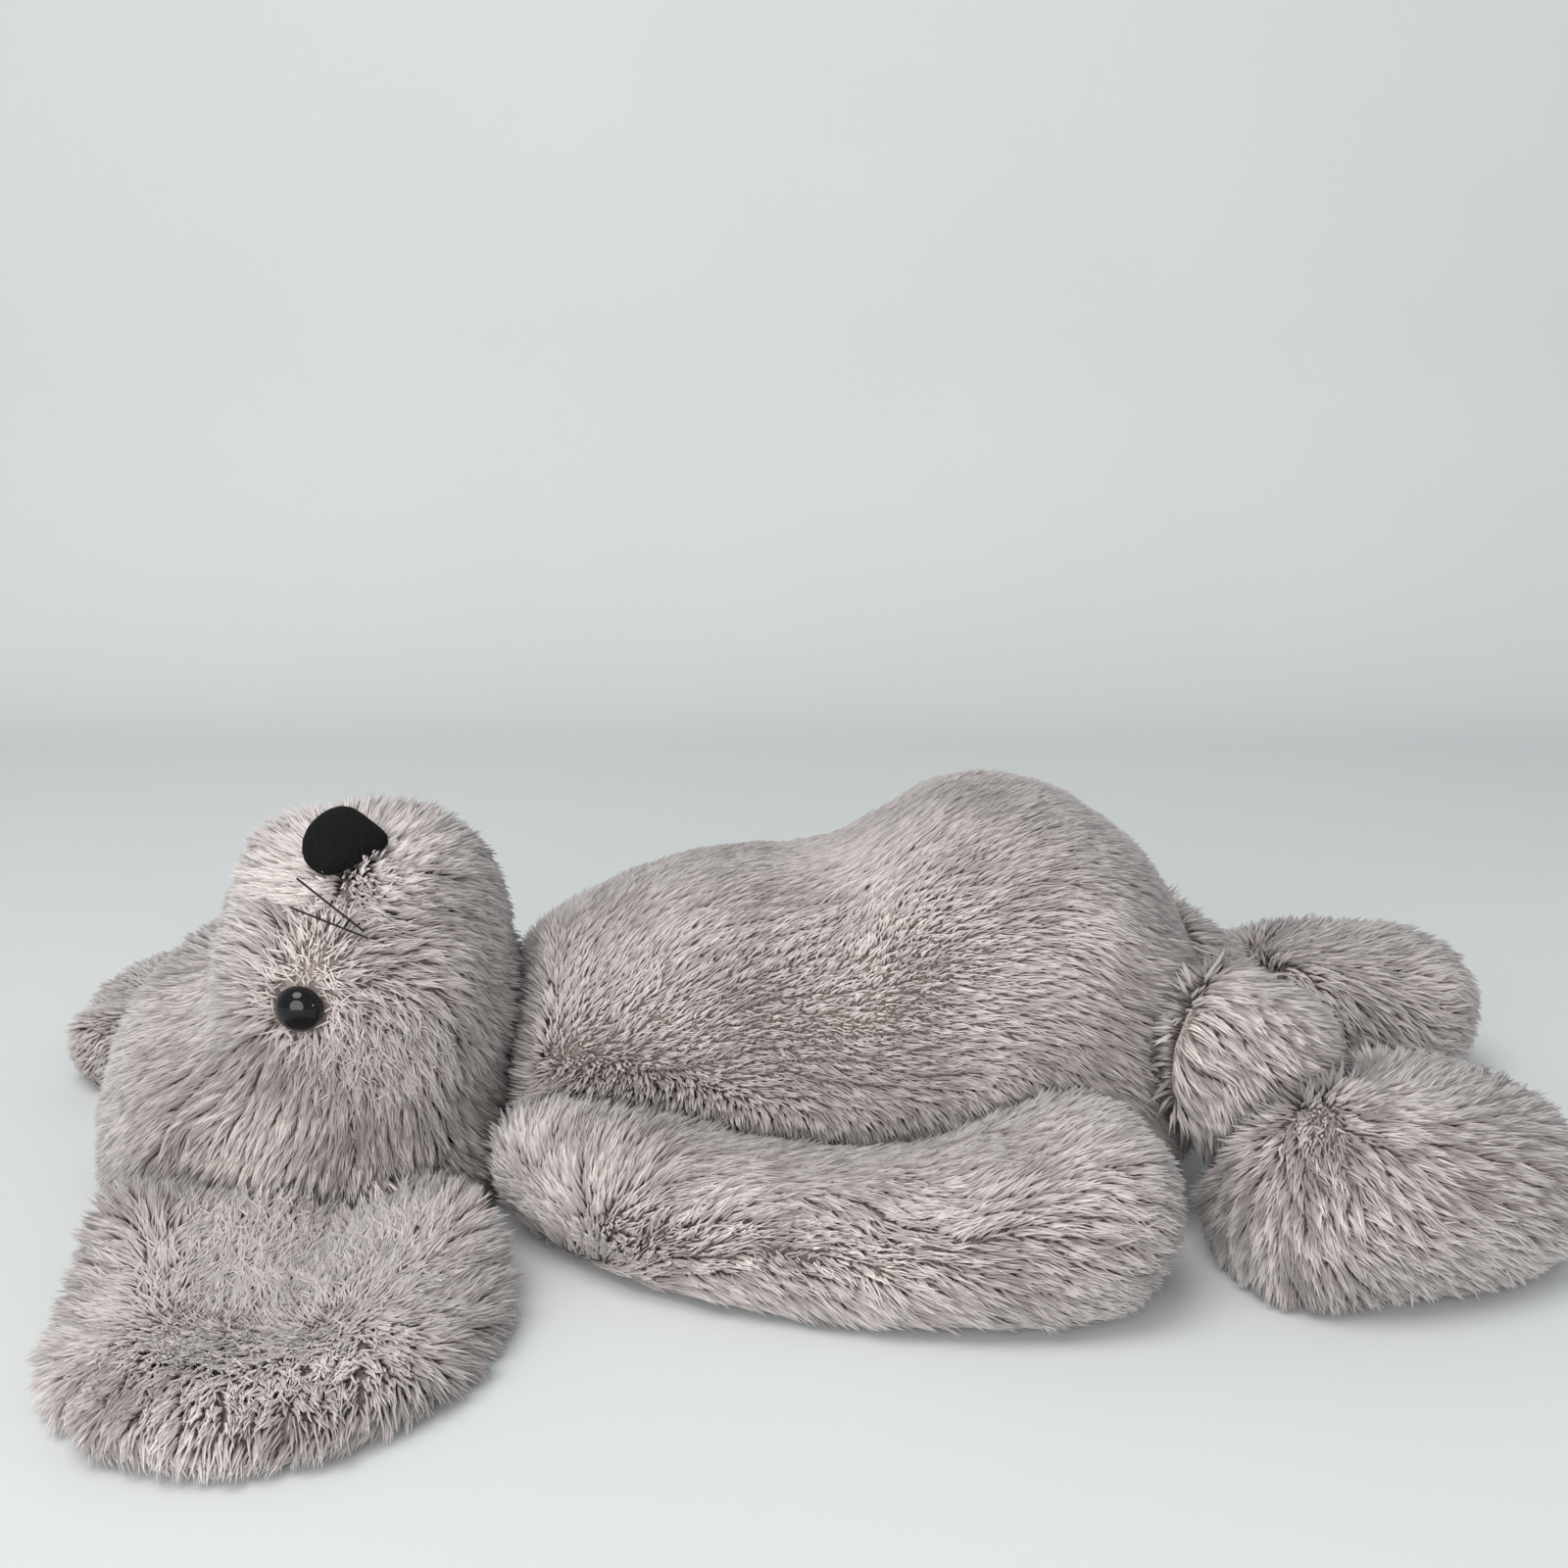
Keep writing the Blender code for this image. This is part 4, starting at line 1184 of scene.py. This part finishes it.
@dataclass
class Eye:
    """A domed safety eye, turned about the line that its washer sits on."""

    side: Side
    dome: float = 0.0052       # height of the dome over its rim
    back: float = 0.0009       # thickness of the eye behind its rim
    shank: float = 0.0016      # radius of the shank
    sides: int = 64
    steps: int = 14            # rings of faces on the dome

    @staticmethod
    def corners(node: str) -> Points:
        """The merged corners of a CAD node, whose mean lies on its axis where it is round."""
        solid = solid_copy(node)
        found = np.array([vert.co for vert in solid.verts])
        solid.free()
        return found

    def outline(self, radius: float, length: float) -> list[Vector]:
        """Half the eye's section, from the top of the dome to the end of the shank.

        Args:
            radius: of the rim.
            length: from the top of the dome to the end of the shank.

        Returns:
            Points in the XZ plane, with the rim at a height of 0 and the shank downwards.
        """
        turns = [math.pi / 2.0 * step / self.steps for step in range(self.steps + 1)]
        section = [(radius * math.sin(turn), self.dome * math.cos(turn)) for turn in turns]
        end = self.dome - length
        section += [(radius - self.back / 2.0, -self.back), (self.shank, -self.back),
                    (self.shank, end + self.shank / 2.0), (self.shank / 2.0, end), (0.0, end)]
        return [Vector((out, 0.0, height)) for out, height in section]

    def make(self, finish: bpy.types.Material) -> bpy.types.Object:
        """Turns the eye and gives it its polish.

        Args:
            finish: the polished plastic.

        Returns:
            The piece.
        """
        node = self.side.word + "_eye"
        corners = self.corners(node)
        middle = corners.mean(axis=0)
        axis = unit(middle - self.corners(node + "_washer").mean(axis=0))
        heights = (corners - middle) @ axis
        radius = float(np.linalg.norm(corners - middle - heights[:, None] * axis, axis=1).max())
        length = float(heights.max() - heights.min())
        rim = Vector(middle + axis * (heights.max() - self.dome))
        bm = bmesh.new()
        verts = [bm.verts.new(point) for point in self.outline(radius, length)]
        edges = [bm.edges.new(pair) for pair in zip(verts, verts[1:])]
        bmesh.ops.spin(bm, geom=verts + edges, cent=(0.0, 0.0, 0.0), axis=(0.0, 0.0, 1.0),
                       dvec=(0.0, 0.0, 0.0), angle=math.tau, steps=self.sides, use_merge=True,
                       use_duplicate=False)
        bmesh.ops.remove_doubles(bm, verts=bm.verts, dist=1e-6)
        bmesh.ops.recalc_face_normals(bm, faces=bm.faces)
        place = Matrix.Translation(rim) @ Vector(axis).to_track_quat("Z", "Y").to_matrix().to_4x4()
        bmesh.ops.transform(bm, matrix=place, verts=bm.verts)
        made = from_bmesh(node + "_dome", bm)
        coat(made, finish)
        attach(made, "root")
        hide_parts(node)
        log.info("%s: %d faces", made.name, len(made.data.polygons))
        return made


@dataclass
class Washer:
    """The washer that holds an eye from inside the head."""

    side: Side
    colour: Colour = (0.8, 0.8, 0.78)

    def make(self) -> bpy.types.Object:
        """Gives the washer its plain moulded finish.

        Returns:
            The CAD node.
        """
        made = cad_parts[self.side.word + "_eye_washer"]
        coat(made, GlossFinish("washer_" + self.side.word, self.colour, polish=0.35, haze=0.5).make())
        log.info("%s finished", made.name)
        return made


@dataclass
class Whiskers:
    """The two threads on one side of the muzzle."""

    side: Side
    places: tuple[str, ...] = ("upper", "lower")

    def make(self, finish: bpy.types.Material) -> None:
        """Gives both threads their finish."""
        for place in self.places:
            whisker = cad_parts[f"{self.side.word}_whisker_{place}"]
            coat(whisker, finish)
            log.info("%s finished", whisker.name)


@dataclass
class Studio:
    """A plain pale floor and wall, soft lamps and the camera."""

    wall_colour: Colour = (0.63, 0.652, 0.655)
    camera_place: tuple[float, float, float] = (0.0, -0.54, 0.2264)
    camera_pitch: float = 12.0
    lens: float = 45.0

    def make_stage(self) -> None:
        """Models the floor and the wall as one sheet with a rounded corner."""
        bm = bmesh.new()
        bmesh.ops.create_grid(bm, x_segments=1, y_segments=1, size=1.6)
        back = [edge for edge in bm.edges if all(vert.co.y > 0.0 for vert in edge.verts)]
        raised = bmesh.ops.extrude_edge_only(bm, edges=back)
        new = [item for item in raised["geom"] if isinstance(item, bmesh.types.BMVert)]
        bmesh.ops.translate(bm, vec=(0.0, 0.0, 2.4), verts=new)
        bmesh.ops.translate(bm, vec=(0.0, -0.7, 0.0), verts=bm.verts)
        bmesh.ops.bevel(bm, geom=back, offset=0.25, segments=12, profile=0.5, affect="EDGES", material=-1)
        bmesh.ops.recalc_face_normals(bm, faces=bm.faces)
        stage = from_bmesh("studio_floor", bm)
        stage.data.materials.append(StageFinish("studio_paper", self.wall_colour).make())

    def make_camera(self) -> None:
        """Sets the camera at the photograph's angle."""
        data = bpy.data.cameras.new("camera")
        data.lens = self.lens
        data.sensor_width = 36.0
        camera = bpy.data.objects.new("camera", data)
        camera.location = self.camera_place
        camera.rotation_euler = (math.radians(90.0 - self.camera_pitch), 0.0, 0.0)
        bpy.context.scene.collection.objects.link(camera)
        bpy.context.scene.camera = camera

    def add_lamp(self, name: str, place: tuple[float, float, float], size: float, power: float,
                 colour: Colour = (1.0, 1.0, 1.0)) -> None:
        """Adds one soft lamp that faces the toy."""
        data = bpy.data.lights.new(name, "AREA")
        data.shape = "DISK"
        data.size = size
        data.energy = power
        data.color = colour
        lamp = bpy.data.objects.new(name, data)
        lamp.location = place
        aim = Vector((0.0, 0.0, 0.05)) - Vector(place)
        lamp.rotation_euler = aim.to_track_quat("-Z", "Y").to_euler()
        bpy.context.scene.collection.objects.link(lamp)

    def make(self) -> None:
        """Builds the stage, the light and the camera."""
        scene = bpy.context.scene
        scene.view_settings.view_transform = "Standard"
        world = bpy.data.worlds.new("soft_sky")
        world.use_nodes = True
        sheet = Sheet(world.node_tree)
        sky = sheet.add("ShaderNodeBackground", sockets={"Color": (0.93, 0.96, 1.0, 1.0), "Strength": 0.48})
        sheet.add("ShaderNodeOutputWorld", sockets={0: sky.outputs[0]})
        scene.world = world
        self.add_lamp("window", (-0.35, -0.6, 1.35), 0.9, 12.0, (1.0, 0.985, 0.96))
        self.add_lamp("front", (-0.35, -1.5, 0.35), 1.5, 25.0, (1.0, 0.985, 0.97))
        self.add_lamp("glint", (1.2, -0.7, 0.35), 0.15, 1.4, (1.0, 1.0, 1.0))
        self.make_stage()
        self.make_camera()


def main() -> None:
    """Builds the studio and every piece in order."""
    logging.basicConfig(level=logging.INFO, format="%(message)s")
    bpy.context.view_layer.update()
    Studio().make()
    backing = ClothFinish().make()
    plush = PileFinish("plush_pile").make()
    lock = Lock().make()
    bags: list[Bag] = [
        Head("head", Pile(length=0.0090, cling=0.55, fringe=0.55), plush, seam_cover=0.010, seed=1,
             filled_with=("right_eye", "left_eye")),
        Torso("torso", Pile(length=0.0072, spacing=0.00060, clump=0.0024, cling=0.42), plush, inset=0.0045,
              swirl=0.5, seed=2),
        Limb("right_arm", Pile(length=0.0098, cling=0.5, fringe=0.55), plush, seed=3),
        Limb("left_arm", Pile(length=0.0110, spacing=0.0009, width=0.0012), plush, seed=4),
        Limb("right_leg", Pile(length=0.0105, cling=0.5, fringe=0.8), plush, rounding=9, seed=5,
             axis=(0.8, -0.3, -0.5), shoulder=0.0),
        Limb("left_leg", Pile(length=0.0105, spacing=0.0008), plush, rounding=9, seed=6,
             axis=(0.8, 0.3, -0.5), shoulder=0.0),
        Foot("right_foot", Pile(length=0.0094, cling=0.6, fringe=0.85), plush, seed=7),
        Foot("left_foot", Pile(length=0.0110, spacing=0.0008, width=0.0009), plush, seed=8,
             crown=(-0.020, 0.0, 0.010)),
        Ear("right_ear", Pile(length=0.0100, clump=0.0034, slim=0.5, cling=0.5), plush, upright=0.35,
            tuck=0.0, seam_cover=0.05, rounding=0, parting=0.017, off_middle=(-0.0045, -0.0085), seed=9),
        Ear("left_ear", Pile(length=0.0076, spacing=0.0008, width=0.0009, cling=0.25), plush, inset=0.0045,
            tuck=0.0, seam_cover=0.05, rounding=0, seed=10),
    ]
    for bag in bags:
        bag.cut_cloth()
    stuff_bags(bags)
    for bag in bags:
        bag.dress(lock, backing)
    bpy.data.objects.remove(lock)
    Nose().make(VelourFinish().make())
    gloss = GlossFinish("eye_gloss").make()
    thread = ThreadFinish().make()
    for side in Side:
        Eye(side).make(gloss)
        Washer(side).make()
        Whiskers(side).make(thread)


if __name__ == "__main__":
    main()
